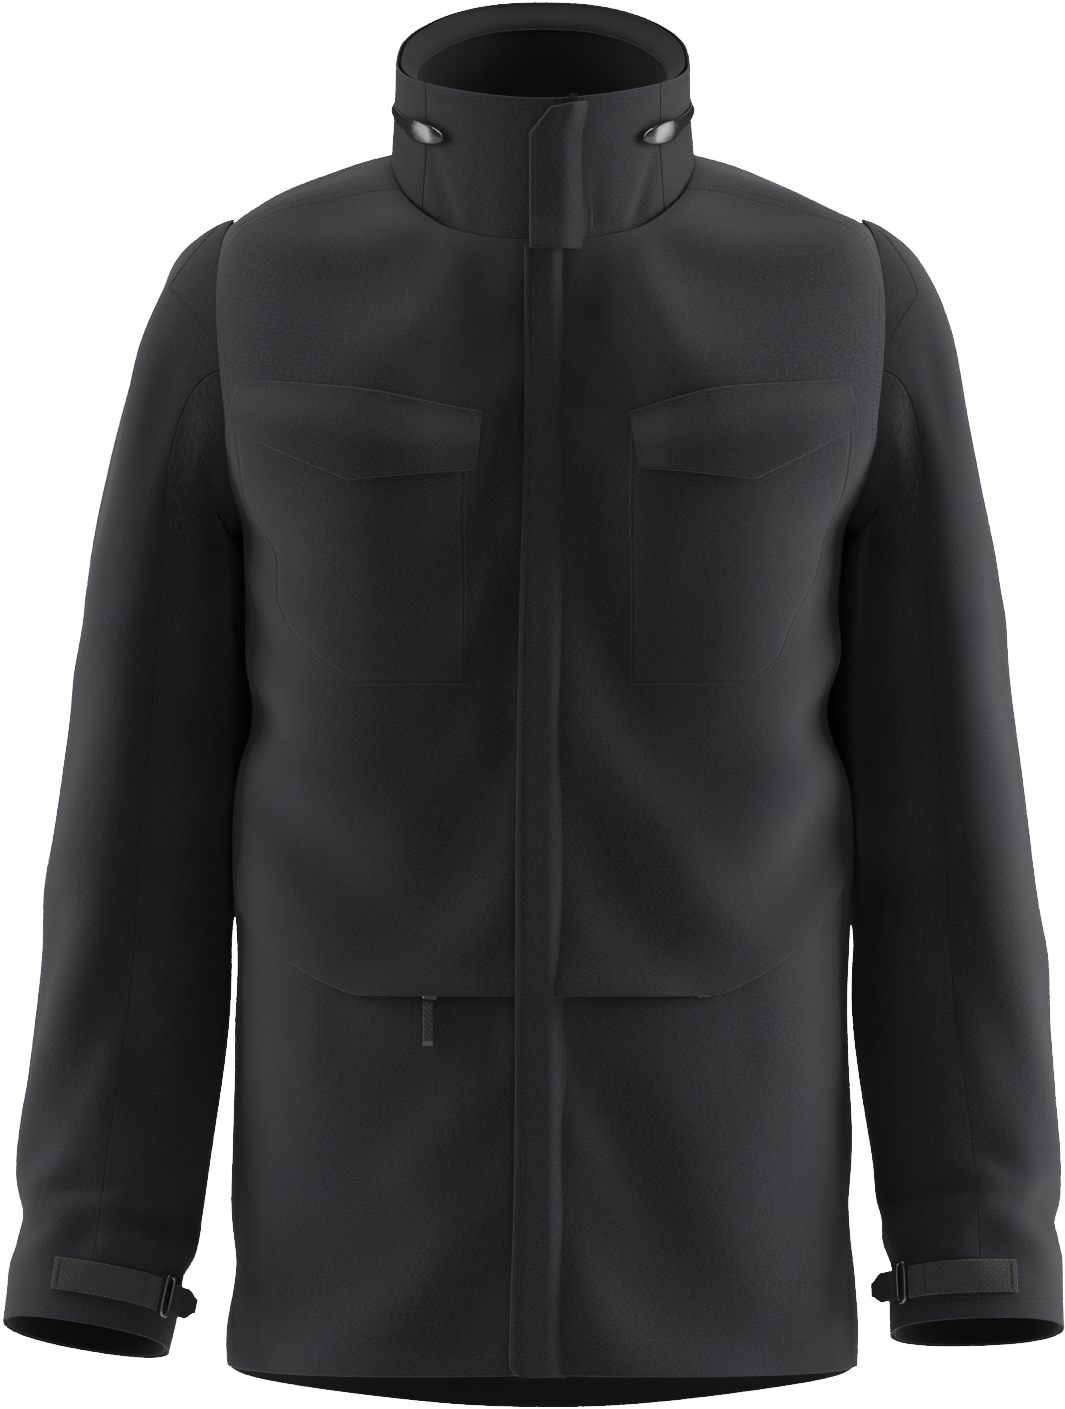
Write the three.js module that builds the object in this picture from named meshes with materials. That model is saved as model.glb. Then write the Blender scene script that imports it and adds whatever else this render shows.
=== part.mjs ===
// A men's hip-length hardshell jacket, hanging closed as if worn, in millimetres, +Z up.
// The wearer faces -Y, so the wearer's right is at -X. Cloth panels are thin closed shells laid on
// two smooth forms, the torso and the sleeve, each addressed by an angle and a height.
// The build frame has Z = 0 at the lowest point of the back hem; the last lines move the jacket so
// that its origin is the hanger loop inside the back neck.
import * as THREE from "three";
import { mergeVertices } from "three/addons/utils/BufferGeometryUtils.js";

// ---- Driving dimensions ----
const SHELL = 1.6; // cloth of the torso and sleeves, with its lining
const PATCH = 1.4; // pocket bags and facings
const SEAM_GAP = 0.5; // half the gap left between two sewn panels
const CHEST_Z = 620; // height where the slices end and the shoulder curves start
const SHOULDER_RISE = 200; // span of the height parameter from the chest slice to the neck seam
const NECK = CHEST_Z + SHOULDER_RISE;
const FRONT_LINE = { y: -132, z: 20, slope: 34 / 795 }; // the straight centre front, leaning back
const SIDE_SEAM = 80; // degrees from centre front; the back one is as far from centre back
const WAIST = { z: 272, rightCorner: 46, leftCorner: 44, rightSide: 328, leftSide: 342 };
const ARMHOLE = { theta: 90, v: 637.5, across: 19, tall: 72.5 };
const HEM = { front: 41, side: 37 };
const ZIP_HALF_GAP = 6.5; // the front panels stop this far from the zip's centre
const HANGER = [0, 54, 812]; // seat of the hanger loop, which becomes the origin
const RIGHT = -1; // the wearer's right side, at -X
const LEFT = 1;

// ---- Colours ----
const finish = (color, roughness, metalness = 0) =>
  new THREE.MeshStandardMaterial({ color, roughness, metalness });
const SHELL_CLOTH = finish(0x202022, 0.8);
const LINING_CLOTH = finish(0x171414, 0.95);
const WEBBING = finish(0x2c2a2b, 0.9);
const ZIP_TAPE = finish(0x161617, 0.6);
const GLOSS_TRIM = finish(0x101012, 0.15);
const METAL = finish(0x3a3a3c, 0.35, 0.9);

// ---- Curves and small helpers ----
const rad = THREE.MathUtils.degToRad;
const lerp = THREE.MathUtils.lerp;
const smooth = THREE.MathUtils.smoothstep;

// A smooth curve through hand-set [x, y] points: cubic with slopes taken from the neighbours.
function curve(points, flatEnds = true) {
  const slope = points.map((p, i) => {
    const a = points[Math.max(i - 1, 0)];
    const b = points[Math.min(i + 1, points.length - 1)];
    return (b[1] - a[1]) / (b[0] - a[0]);
  });
  if (flatEnds) slope[0] = slope[slope.length - 1] = 0;
  return (x) => {
    if (x <= points[0][0]) return points[0][1];
    const i = points.findIndex((p) => p[0] >= x);
    if (i < 0) return points[points.length - 1][1];
    const [x0, y0] = points[i - 1];
    const [x1, y1] = points[i];
    const w = x1 - x0;
    const t = (x - x0) / w;
    const s = 1 - t;
    const ends = y0 * s * s * (1 + 2 * t) + y1 * t * t * (3 - 2 * t);
    return ends + w * t * s * (slope[i - 1] * s - slope[i] * t);
  };
}

const alongFront = (z) => FRONT_LINE.y + FRONT_LINE.slope * (z - FRONT_LINE.z);

// ---- The torso form ----
const halfWidth = curve([
  [0, 193], [140, 192], [290, 189], [380, 189],
  [480, 183], [550, 185], [590, 199], [620, 206],
]);
const backDepth = curve([[0, 113], [300, 108], [480, 117], [620, 124]]);
const boxiness = curve([[0, 2.4], [300, 2.3], [480, 2.7], [560, 3.2], [620, 4.2]]);
const sway = curve([[0, 0], [540, 0], [620, 5]]); // the shoulders sit a little towards the left

// Shoulder control points by angle from centre front, for one cubic per angle.
const neckHeight = curve([[0, 728.5], [35, 735], [60, 753], [90, 780], [130, 795], [180, 800]]);
const RISE_1 = [
  [0, -104.8, 656], [91, -104, 670], [220, -60, 744], [231.5, -4, 752],
  [220, 62, 752], [112, 123, 718], [0, 126, 700],
];
const RISE_2 = [
  [0, -103.3, 692], [78, -93, 712], [158, -50, 754], [170, -6, 763],
  [156, 45, 767], [90, 95, 768], [0, 100, 772],
];
const RISE_ANGLES = [0, 40, 70, 90, 110, 140, 180];
const keyed = (rows) =>
  [0, 1, 2].map((k) => curve(RISE_ANGLES.map((angle, i) => [angle, rows[i][k]]), k > 0));
const firstHandle = keyed(RISE_1);
const secondHandle = keyed(RISE_2);

function torsoSlice(theta, z) {
  const s = Math.sin(rad(theta));
  const c = Math.cos(rad(theta));
  const depth = c > 0 ? -alongFront(z) : backDepth(z);
  const n = boxiness(z);
  const r = (Math.abs(s / halfWidth(z)) ** n + Math.abs(c / depth) ** n) ** (-1 / n);
  return new THREE.Vector3(sway(z) + r * s, -r * c, z);
}

function torsoPoint(theta, v) {
  let p;
  if (v <= CHEST_Z) p = torsoSlice(theta, v);
  else {
    const side = Math.sign(theta) || 1;
    const at = Math.abs(theta);
    const t = (v - CHEST_Z) / SHOULDER_RISE;
    const handle = (rows, shift) => new THREE.Vector3(side * rows[0](at) + shift, rows[1](at), rows[2](at));
    const turn = rad(theta);
    const neck = new THREE.Vector3(93 * Math.sin(turn), -13 - 89 * Math.cos(turn), neckHeight(at));
    const chest = torsoSlice(theta, CHEST_Z);
    const low = handle(firstHandle, 5.5);
    const high = handle(secondHandle, 0);
    const rise = new THREE.CubicBezierCurve3(chest, low, high, neck);
    p = rise.getPoint(t);
  }
  return p.setY(p.y - chestFullness(p));
}

// The chest stands forward on each side of the straight centre front.
function chestFullness(p) {
  if (p.y > 0) return 0;
  const out = Math.abs(p.x);
  const bell = Math.exp(-(((out - 95) / 58) ** 2) / 2 - (((p.z - 590) / 105) ** 2) / 2);
  return 15 * bell * smooth(out, 22, 80);
}

const waistSeam = (theta) => {
  const at = Math.abs(theta);
  const corner = theta < 0 ? WAIST.rightCorner : WAIST.leftCorner;
  const top = theta < 0 ? WAIST.rightSide : WAIST.leftSide;
  const t = Math.max(0, (at - corner) / (SIDE_SEAM - corner));
  return lerp(WAIST.z, top, t ** 1.4);
};

function hemLine(theta) {
  const past = Math.abs(theta) - 90;
  if (past <= 0) return lerp(HEM.front, HEM.side, Math.abs(theta) / 90);
  return HEM.side * (1 - Math.sin(rad(past))) ** 1.3;
}

// How far the armhole's edge stands from 90 degrees at a height, and where it lies at an angle.
const armholeReach = (v) =>
  ARMHOLE.across * Math.sqrt(Math.max(0, 1 - ((v - ARMHOLE.v) / ARMHOLE.tall) ** 2));
const armholeLift = (theta) =>
  ARMHOLE.tall * Math.sqrt(Math.max(0, 1 - ((Math.abs(theta) - ARMHOLE.theta) / ARMHOLE.across) ** 2));
const YOKE_V = ARMHOLE.v + armholeLift(74);
const UNDERARM_V = ARMHOLE.v - armholeLift(SIDE_SEAM);

// The front panel's outer edge: side seam, then armhole, then the front yoke seam up to the neck.
function frontEdge(v) {
  if (v <= UNDERARM_V) return SIDE_SEAM;
  if (v <= YOKE_V) return ARMHOLE.theta - armholeReach(v);
  return lerp(74, 70, (v - YOKE_V) / (NECK - YOKE_V));
}

// ---- The collar form: an upright oval tube, its rim higher at the back ----
const rimHeight = curve([[0, 815], [45, 824], [90, 843], [105, 857], [135, 876.5], [158, 886], [180, 888.5]]);
const HOOD_ZIP = { centre: [0, -13, 815], radius: 92.5, tilt: 19.4, end: 52 };
const zipSlope = Math.tan(rad(HOOD_ZIP.tilt));

function collarPoint(theta, z) {
  const low = neckHeight(Math.abs(theta));
  const t = THREE.MathUtils.clamp((z - low) / (rimHeight(Math.abs(theta)) - low), 0, 1);
  const c = Math.cos(rad(theta));
  const wide = lerp(93, 90.5, smooth(t, 0, 0.6));
  const deep = lerp(89 - 1.3 * t, -13 - alongFront(z), Math.max(0, c) ** 2);
  return new THREE.Vector3(wide * Math.sin(rad(theta)), -13 - deep * c, z);
}
const zipLine = (theta) => HOOD_ZIP.centre[2] - zipSlope * 88 * Math.cos(rad(theta));

// ---- The sleeve form, for the right arm; the left is its mirror with its own outline ----
// Rings down the arm: [height, distance out, half width, centre depth, half depth].
const ARM_RINGS = {
  [RIGHT]: [
    [540, 233, 44.5, 14, 72],
    [461, 239, 50, 16, 68],
    [362, 247.5, 54.5, 16, 62],
    [263, 253.3, 58.5, 8, 57],
    [164, 265.7, 56, -14, 53],
    [114, 271.5, 53.5, -27, 51],
    [57, 281, 50.5, -42, 49],
  ],
  [LEFT]: [
    [540, 234, 44.5, 14, 72],
    [461, 239, 50, 16, 68],
    [362, 247, 54.5, 16, 62],
    [263, 251.6, 59.6, 8, 57],
    [164, 262.2, 55.2, -14, 53],
    [114, 265.5, 52.8, -27, 51],
    [60, 267, 53, -41, 49],
  ],
};
const CAP_END = 0.28; // share of the sleeve's length parameter taken by the cap over the shoulder
const armTable = (side) => {
  const rings = ARM_RINGS[side];
  const at = rings.map((r, i) => i / (rings.length - 1));
  return [0, 1, 2, 3, 4].map((k) => {
    const points = rings.map((r, i) => new THREE.Vector3(at[i], r[k], 0));
    const line = new THREE.CatmullRomCurve3(points, false, "catmullrom", 0.5);
    return (t) => line.getPoint(t).y;
  });
};
const ARM = { [RIGHT]: armTable(RIGHT), [LEFT]: armTable(LEFT) };

// phi runs round the sleeve: 0 outer, 90 front, 180 inner, 270 back. t runs from bicep to cuff.
function armRing(side, phi, t) {
  const [height, out, wide, deep, thick] = ARM[side].map((f) => f(t));
  const step = 0.01;
  const [z1, o1, , d1] = ARM[side].map((f) => f(Math.min(t + step, 1)));
  const [z0, o0, , d0] = ARM[side].map((f) => f(Math.max(t - step, 0)));
  const run = z0 - z1;
  const c = Math.cos(rad(phi));
  const s = Math.sin(rad(phi));
  const n = 2.35;
  const r = (Math.abs(c) ** n + Math.abs(s) ** n) ** (-1 / n);
  const level = smooth(t, 0, 0.2);
  const drop = (wide * r * c * (o1 - o0)) / run - (thick * r * s * (d1 - d0)) / run;
  return new THREE.Vector3(side * (out + wide * r * c), deep - thick * r * s, height + level * drop);
}

function armholePoint(side, phi) {
  const theta = ARMHOLE.theta - (ARMHOLE.across - 1.5) * Math.sin(rad(phi));
  return torsoPoint(side * theta, ARMHOLE.v + (ARMHOLE.tall - 4.5) * Math.cos(rad(phi)));
}

function sleevePoint(side, phi, w) {
  if (w >= CAP_END) return armRing(side, phi, (w - CAP_END) / (1 - CAP_END));
  const start = armholePoint(side, phi);
  const end = armRing(side, phi, 0);
  const c = Math.cos(rad(phi));
  const s = Math.sin(rad(phi));
  const outer = Math.max(0, c);
  const reach = 14 + 31 * outer ** 0.7 + 10 * Math.abs(s);
  const drop = -4 + 32 * outer - 22 * Math.max(0, -c);
  const leave = start.clone().add(new THREE.Vector3(side * reach, -5 * s, drop));
  const rise = lerp(18, 104, (c + 1) / 2);
  const arrive = end.clone().add(new THREE.Vector3(-side * 21 * outer, -2 * s, rise));
  return new THREE.CubicBezierCurve3(start, leave, arrive, end).getPoint(w / CAP_END);
}

// ---- Solids ----
// A thin closed shell: place(s, t) gives a point on a form, lift raises it along the form's normal.
function normalOf(place, s, t, centre) {
  const e = 1e-3;
  const s0 = Math.max(0, s - e);
  const s1 = Math.min(1, s + e);
  const t0 = Math.max(0, t - e);
  const t1 = Math.min(1, t + e);
  const across = place(s1, t).sub(place(s0, t));
  const up = place(s, t1).sub(place(s, t0));
  const n = across.cross(up).normalize();
  return n.dot(place(s, t).sub(centre)) < 0 ? n.negate() : n;
}

function facingOut(geometry) {
  const p = geometry.attributes.position;
  const index = geometry.index;
  const [a, b, c] = [0, 1, 2].map(() => new THREE.Vector3());
  let volume = 0;
  for (let i = 0; i < index.count; i += 3) {
    a.fromBufferAttribute(p, index.getX(i));
    b.fromBufferAttribute(p, index.getX(i + 1));
    c.fromBufferAttribute(p, index.getX(i + 2));
    volume += a.dot(b.cross(c));
  }
  if (volume < 0)
    for (let i = 0; i < index.count; i += 3) {
      const keep = index.getX(i);
      index.setX(i, index.getX(i + 1));
      index.setX(i + 1, keep);
    }
  return geometry;
}

function shell(columns, rows, thickness, place, { lift = () => 0, centre }) {
  let geometry = new THREE.BoxGeometry(1, 1, 1, columns, rows, 1);
  geometry.deleteAttribute("normal");
  geometry.deleteAttribute("uv");
  geometry = mergeVertices(geometry, 1e-6);
  const p = geometry.attributes.position;
  for (let i = 0; i < p.count; i++) {
    const s = p.getX(i) + 0.5;
    const t = p.getY(i) + 0.5;
    const at = place(s, t);
    const n = normalOf(place, s, t, centre(s, t));
    at.addScaledVector(n, lift(s, t) + p.getZ(i) * thickness);
    p.setXYZ(i, at.x, at.y, at.z);
  }
  return facingOut(geometry);
}

const jacket = new THREE.Group();
function add(name, geometry, material, holder = jacket) {
  const mesh = new THREE.Mesh(geometry, material);
  mesh.name = name;
  holder.add(mesh);
  return mesh;
}

const torsoCentre = (place) => (s, t) => {
  const p = place(s, t);
  return p.z > 700 ? new THREE.Vector3(p.x * 0.5, 0, 640) : new THREE.Vector3(0, 0, p.z);
};
const onTorso = (theta, v) => (s, t) => torsoPoint(theta(s, t), v(s, t));
function torsoShell(columns, rows, thickness, theta, v, lift = () => 0) {
  const place = onTorso(theta, v);
  return shell(columns, rows, thickness, place, { lift, centre: torsoCentre(place) });
}

// The angle whose front-view distance from the centre is x, at a height on the slices or shoulders.
function thetaAt(x, v) {
  let low = -89;
  let high = 89;
  for (let i = 0; i < 40; i++) {
    const mid = (low + high) / 2;
    if (torsoPoint(mid, v).x < x) low = mid;
    else high = mid;
  }
  return (low + high) / 2;
}

// ---- Torso panels ----
for (const [name, side] of [["right", RIGHT], ["left", LEFT]]) {
  const inner = (v) => Math.abs(thetaAt(side * ZIP_HALF_GAP, Math.min(v, NECK)));
  const angleSpan = (v) => [inner(v), frontEdge(v) - 0.25];

  // Upper front: from the waist seam to the neck and the yoke seam.
  const frontV = (s, t) => {
    const low = waistSeam(side * lerp(inner(WAIST.z), SIDE_SEAM, s)) + SEAM_GAP;
    return lerp(low, NECK - SEAM_GAP, t);
  };
  const frontTheta = (s, t) => {
    const [a, b] = angleSpan(frontV(s, t));
    return side * lerp(a, b, s);
  };
  add("front_panel_" + name, torsoShell(11, 14, SHELL, frontTheta, frontV), SHELL_CLOTH);

  // Lower front, below the waist seam.
  const skirtTheta = (s) => side * lerp(inner(200), SIDE_SEAM - 0.25, s);
  const skirtV = (s, t) => {
    const theta = skirtTheta(s);
    return lerp(hemLine(theta), waistSeam(theta) - 6 * (1 - smooth(Math.abs(theta), 46, 56)) - SEAM_GAP, t);
  };
  add("skirt_panel_" + name, torsoShell(11, 6, SHELL, skirtTheta, skirtV), SHELL_CLOTH);

  // Side strip under the arm.
  const sideTheta = (s) => side * lerp(SIDE_SEAM + 0.25, 180 - SIDE_SEAM - 0.25, s);
  const sideV = (s, t) => lerp(hemLine(sideTheta(s)), ARMHOLE.v - armholeLift(sideTheta(s)), t);
  add("side_panel_" + name, torsoShell(3, 10, SHELL, sideTheta, sideV), SHELL_CLOTH);
}

const backEdge = (v) => 180 - (v <= UNDERARM_V ? SIDE_SEAM : ARMHOLE.theta - armholeReach(v)) + 0.25;
const wrap = (theta) => (theta > 180 ? theta - 360 : theta);
const backV = (s, t) => lerp(hemLine(wrap(lerp(100, 260, s))), YOKE_V - SEAM_GAP, t);
const backTheta = (s, t) => wrap(lerp(backEdge(backV(s, t)), 360 - backEdge(backV(s, t)), s));
add("back_panel", torsoShell(18, 11, SHELL, backTheta, backV), SHELL_CLOTH);

// The yoke runs over both shoulders, from one front yoke seam round the back to the other.
const yokeBase = (s) => lerp(74, 286, s);
const yokeLow = (s) => {
  const from = Math.abs(Math.min(yokeBase(s), 360 - yokeBase(s)) - ARMHOLE.theta);
  return from < ARMHOLE.theta - 74 ? ARMHOLE.v + armholeLift(90 + from) : YOKE_V;
};
const yokeV = (s, t) => lerp(yokeLow(s) + SEAM_GAP, NECK - SEAM_GAP, t);
const yokeTheta = (s, t) => {
  const lean = (frontEdge(yokeV(s, t)) - 74) * (1 - smooth(Math.min(s, 1 - s), 0, 0.1));
  const theta = yokeBase(s) + (s < 0.5 ? lean + 0.25 : -lean - 0.25);
  return wrap(theta);
};
add("shoulder_yoke", torsoShell(28, 4, SHELL, yokeTheta, yokeV), SHELL_CLOTH);

// ---- Straight pieces along the centre front ----
// Local axes: x across, y towards the wearer, z up the front line.
const frontAxis = new THREE.Group();
frontAxis.position.set(0, FRONT_LINE.y, FRONT_LINE.z);
frontAxis.rotation.x = -Math.atan(FRONT_LINE.slope);
jacket.add(frontAxis);

function bar(outline, length) {
  const shape = new THREE.Shape(outline.map(([x, y]) => new THREE.Vector2(x, y)));
  return new THREE.ExtrudeGeometry(shape, { depth: length, bevelEnabled: false });
}
const FRONT_TOP = 794; // how far the zip runs up the front line, from the hem to inside the collar
const ZIP_START = 26;
for (const [name, side] of [["right", RIGHT], ["left", LEFT]]) {
  const profile = [
    [0.7, 1.3], [3.4, 1.3], [3.4, 2.6], [14, 2.6],
    [14, 3.4], [3.4, 3.4], [3.4, 3.9], [0.7, 3.9],
  ];
  const tape = bar(profile.map(([x, y]) => [side * x, y]), FRONT_TOP - 8 - ZIP_START);
  const mesh = add("front_zip_tape_" + name, tape, ZIP_TAPE, frontAxis);
  mesh.position.z = ZIP_START;
}

// Wind guard: the inner flap behind the zip.
const guard = new THREE.BoxGeometry(46, 1.2, FRONT_TOP - 12 - ZIP_START);
add("wind_guard", guard, SHELL_CLOTH, frontAxis).position.set(6, 7.2, (FRONT_TOP - 12 + ZIP_START) / 2);

// Front slider: a plate before and behind the teeth, joined by the web that parts them.
const SLIDER = { z: 762, length: 14, half: 5 };
const beam = [
  [-5, 0.9], [-0.35, 0.9], [-0.35, 4.3], [-5, 4.3], [-5, 5.5], [5, 5.5],
  [5, 4.3], [0.35, 4.3], [0.35, 0.9], [5, 0.9], [5, -0.4], [-5, -0.4],
];
add("front_slider", bar(beam, SLIDER.length), METAL, frontAxis).position.z = SLIDER.z;
const pull = new THREE.Shape();
pull.moveTo(-2.2, 0);
pull.lineTo(2.2, 0);
pull.lineTo(3, -20);
pull.absarc(0, -21, 3, 0, -Math.PI, true);
pull.lineTo(-2.2, 0);
const pullSolid = new THREE.ExtrudeGeometry(pull, { depth: 1.2, bevelEnabled: false, curveSegments: 6 });
const pullMesh = add("front_pull", pullSolid, METAL, frontAxis);
pullMesh.rotation.x = Math.PI / 2;
pullMesh.position.set(0, -1.2, SLIDER.z + 11);

// Storm flap, hinged where it is sewn to the left front, with sockets for the studs on the right.
const FLAP = { sewn: 14, freeTop: -11.5, freeBottom: -21, bottom: 21, top: 703, y: -4.4, thick: 1.6 };
function flapPlate(sewn, freeTop, freeBottom, bottom, top, chamfer) {
  const outline = new THREE.Shape();
  outline.moveTo(freeBottom, bottom);
  outline.lineTo(sewn, bottom);
  outline.lineTo(sewn, top);
  outline.lineTo(freeTop + chamfer, top);
  if (chamfer) outline.lineTo(freeTop, top - chamfer * 1.15);
  return new THREE.ExtrudeGeometry(outline, { depth: FLAP.thick, bevelEnabled: false });
}
const standUp = (mesh, y) => {
  mesh.rotation.x = Math.PI / 2;
  mesh.position.y = y;
};
const stormPlate = flapPlate(FLAP.sewn, FLAP.freeTop, FLAP.freeBottom, FLAP.bottom, FLAP.top, 0);
standUp(add("storm_flap", stormPlate, SHELL_CLOTH, frontAxis), FLAP.y + FLAP.thick / 2);
const THROAT = { sewn: 18, free: -8.5, bottom: 709, top: 789, chamfer: 13 };
const { sewn, free, bottom, top, chamfer } = THROAT;
const throatPlate = flapPlate(sewn, free, free, bottom, top, chamfer);
standUp(add("throat_flap", throatPlate, SHELL_CLOTH, frontAxis), FLAP.y + FLAP.thick / 2);

function button(radius, height, y) {
  const disc = new THREE.CylinderGeometry(radius, radius, height, 12);
  disc.translate(0, y, 0);
  return disc;
}
// Height up the front line and distance across: the flap narrows upwards, so the studs move in.
const STUDS = [[96, -13], [276, -12], [456, -9.5], [640, -8.2]];
STUDS.forEach(([z, x], i) => {
  const stud = button(3.2, 0.9, -1.85);
  add("front_stud_" + (i + 1), stud, METAL, frontAxis).position.set(x, 0, z);
  const socket = button(3.2, 0.7, -3.0);
  add("flap_socket_" + (i + 1), socket, METAL, frontAxis).position.set(x, 0, z);
});

// ---- Collar ----
// Outer cloth in two front pieces and, round the back, one piece below and one above the hood zip.
function collarShell(columns, rows, thickness, theta, z, lift = () => 0) {
  const place = (s, t) => collarPoint(theta(s, t), z(s, t));
  const centre = (s, t) => new THREE.Vector3(0, -13, z(s, t));
  return shell(columns, rows, thickness, place, { lift, centre });
}
const COLLAR_LOW = 2.4; // gap above the neck seam
for (const [name, side] of [["right", RIGHT], ["left", LEFT]]) {
  const theta = (s) => side * lerp(4.3, HOOD_ZIP.end - 0.3, s);
  const z = (s, t) => lerp(neckHeight(Math.abs(theta(s))) + COLLAR_LOW, rimHeight(Math.abs(theta(s))), t);
  add("collar_front_" + name, collarShell(6, 4, SHELL, theta, z), SHELL_CLOTH);
}
const backSweep = (s) => wrap(lerp(HOOD_ZIP.end + 0.3, 359.7 - HOOD_ZIP.end, s));
const ZIP_ROOM = { below: 3.2, above: 4.4 }; // the slider passes between the two back pieces
const lowerZ = (s, t) => {
  const at = backSweep(s);
  return lerp(neckHeight(Math.abs(at)) + COLLAR_LOW, zipLine(at) - ZIP_ROOM.below, t);
};
const upperZ = (s, t) => {
  const at = backSweep(s);
  return lerp(zipLine(at) + ZIP_ROOM.above, rimHeight(Math.abs(at)), t);
};
add("collar_back_lower", collarShell(20, 3, SHELL, backSweep, lowerZ), SHELL_CLOTH);
add("collar_back_upper", collarShell(20, 3, SHELL, backSweep, upperZ), SHELL_CLOTH);

// The rolled hood fills the back of the collar and thins out towards the front.
const ROLL_END = 66;
const rollSweep = (s) => wrap(lerp(ROLL_END, 360 - ROLL_END, s));
const rollFull = (s) => Math.sqrt(smooth(Math.min(s, 1 - s), -0.02, 0.16));
const rollZ = (s, t) => {
  const at = Math.abs(rollSweep(s));
  const middle = lerp(neckHeight(at), rimHeight(at), 0.52);
  return middle + (t - 0.5) * 46 * rollFull(s);
};
const ROLL_THICK = 8;
const LINING_BACK = 13.2;
function rollShell() {
  const place = (s, t) => collarPoint(rollSweep(s), rollZ(s, t));
  const centre = (s, t) => new THREE.Vector3(0, -13, rollZ(s, t));
  const lift = () => -3.3 - ROLL_THICK / 2;
  return shell(16, 3, ROLL_THICK, place, { lift, centre });
}
add("stowed_hood", rollShell(), SHELL_CLOTH);

// Collar lining, standing off behind the hood at the back and meeting the outer cloth at the front.
const liningSweep = (s) => wrap(lerp(19.5, 340.5, s));
const liningLift = (s) => -lerp(2.9, LINING_BACK, smooth(Math.abs(liningSweep(s)), 38, 68));
const liningZ = (s, t) => {
  const at = Math.abs(liningSweep(s));
  return lerp(neckHeight(at) + 2, rimHeight(at) - 0.5, t);
};
add("collar_lining", collarShell(24, 3, 1, liningSweep, liningZ, liningLift), LINING_CLOTH);

// ---- Hood zip: a tape on a tilted circle round the back of the collar ----
const hoodAxis = new THREE.Group();
hoodAxis.position.set(...HOOD_ZIP.centre);
hoodAxis.rotation.x = rad(HOOD_ZIP.tilt);
jacket.add(hoodAxis);
// Local angles run from the front, round the wearer's left, to the back.
function ringPiece(from, to, inner, outer, low, high, steps) {
  const shape = new THREE.Shape();
  const start = rad(from - 90);
  const end = rad(to - 90);
  shape.absarc(0, 0, outer, start, end, false);
  shape.absarc(0, 0, inner, end, start, true);
  const options = { depth: high - low, bevelEnabled: false, curveSegments: steps };
  return new THREE.ExtrudeGeometry(shape, options).translate(0, 0, low);
}
const TAPE_R = HOOD_ZIP.radius;
const ZIP_END = HOOD_ZIP.end;
const hoodTape = ringPiece(ZIP_END + 0.8, 359.2 - ZIP_END, TAPE_R - 1, TAPE_R - 0.3, -2.6, 2.6, 30);
add("hood_zip", hoodTape, ZIP_TAPE, hoodAxis);
const hoodSlider = ringPiece(-ZIP_END - 5, -ZIP_END + 2, TAPE_R + 2.1, TAPE_R + 3.5, -3.2, 3.2, 3);
add("hood_zip_slider", hoodSlider, METAL, hoodAxis);

// The glossy covers over the two ends of the hood zip.
for (const [name, side] of [["right", RIGHT], ["left", LEFT]]) {
  const theta = (s) => side * lerp(HOOD_ZIP.end - 12, HOOD_ZIP.end + 13, s);
  const z = (s, t) => zipLine(theta(s)) + (t - 0.5) * 17 * lerp(0.72, 1, Math.sin(Math.PI * s));
  const lift = () => 6.6;
  add("hood_zip_cover_" + name, collarShell(6, 4, 0.8, theta, z, lift), GLOSS_TRIM);
}

// ---- Hanger loop inside the back neck: a tape with a flat top span ----
const loop = new THREE.Shape();
const LOOP = { half: 26, flat: 15, rise: 15, tape: 1.4, width: 6, feet: -13 };
loop.moveTo(-LOOP.half, LOOP.feet);
loop.lineTo(-LOOP.half + LOOP.tape, LOOP.feet);
loop.lineTo(-LOOP.half + LOOP.tape + 1, -5);
loop.quadraticCurveTo(-LOOP.flat - 6, 0, -LOOP.flat, 0);
loop.lineTo(LOOP.flat, 0);
loop.quadraticCurveTo(LOOP.flat + 6, 0, LOOP.half - LOOP.tape - 1, -5);
loop.lineTo(LOOP.half - LOOP.tape, LOOP.feet);
loop.lineTo(LOOP.half, LOOP.feet);
loop.lineTo(LOOP.half, -4);
loop.quadraticCurveTo(LOOP.flat + 7, LOOP.tape, LOOP.flat, LOOP.tape);
loop.lineTo(-LOOP.flat, LOOP.tape);
loop.quadraticCurveTo(-LOOP.flat - 7, LOOP.tape, -LOOP.half, -4);
const loopCut = { depth: LOOP.width, bevelEnabled: false, curveSegments: 5 };
const loopTape = new THREE.ExtrudeGeometry(loop, loopCut);
loopTape.rotateX(Math.PI / 2).translate(0, LOOP.width / 2, 0);
add("hanger_loop", loopTape, WEBBING).position.set(...HANGER);

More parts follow.
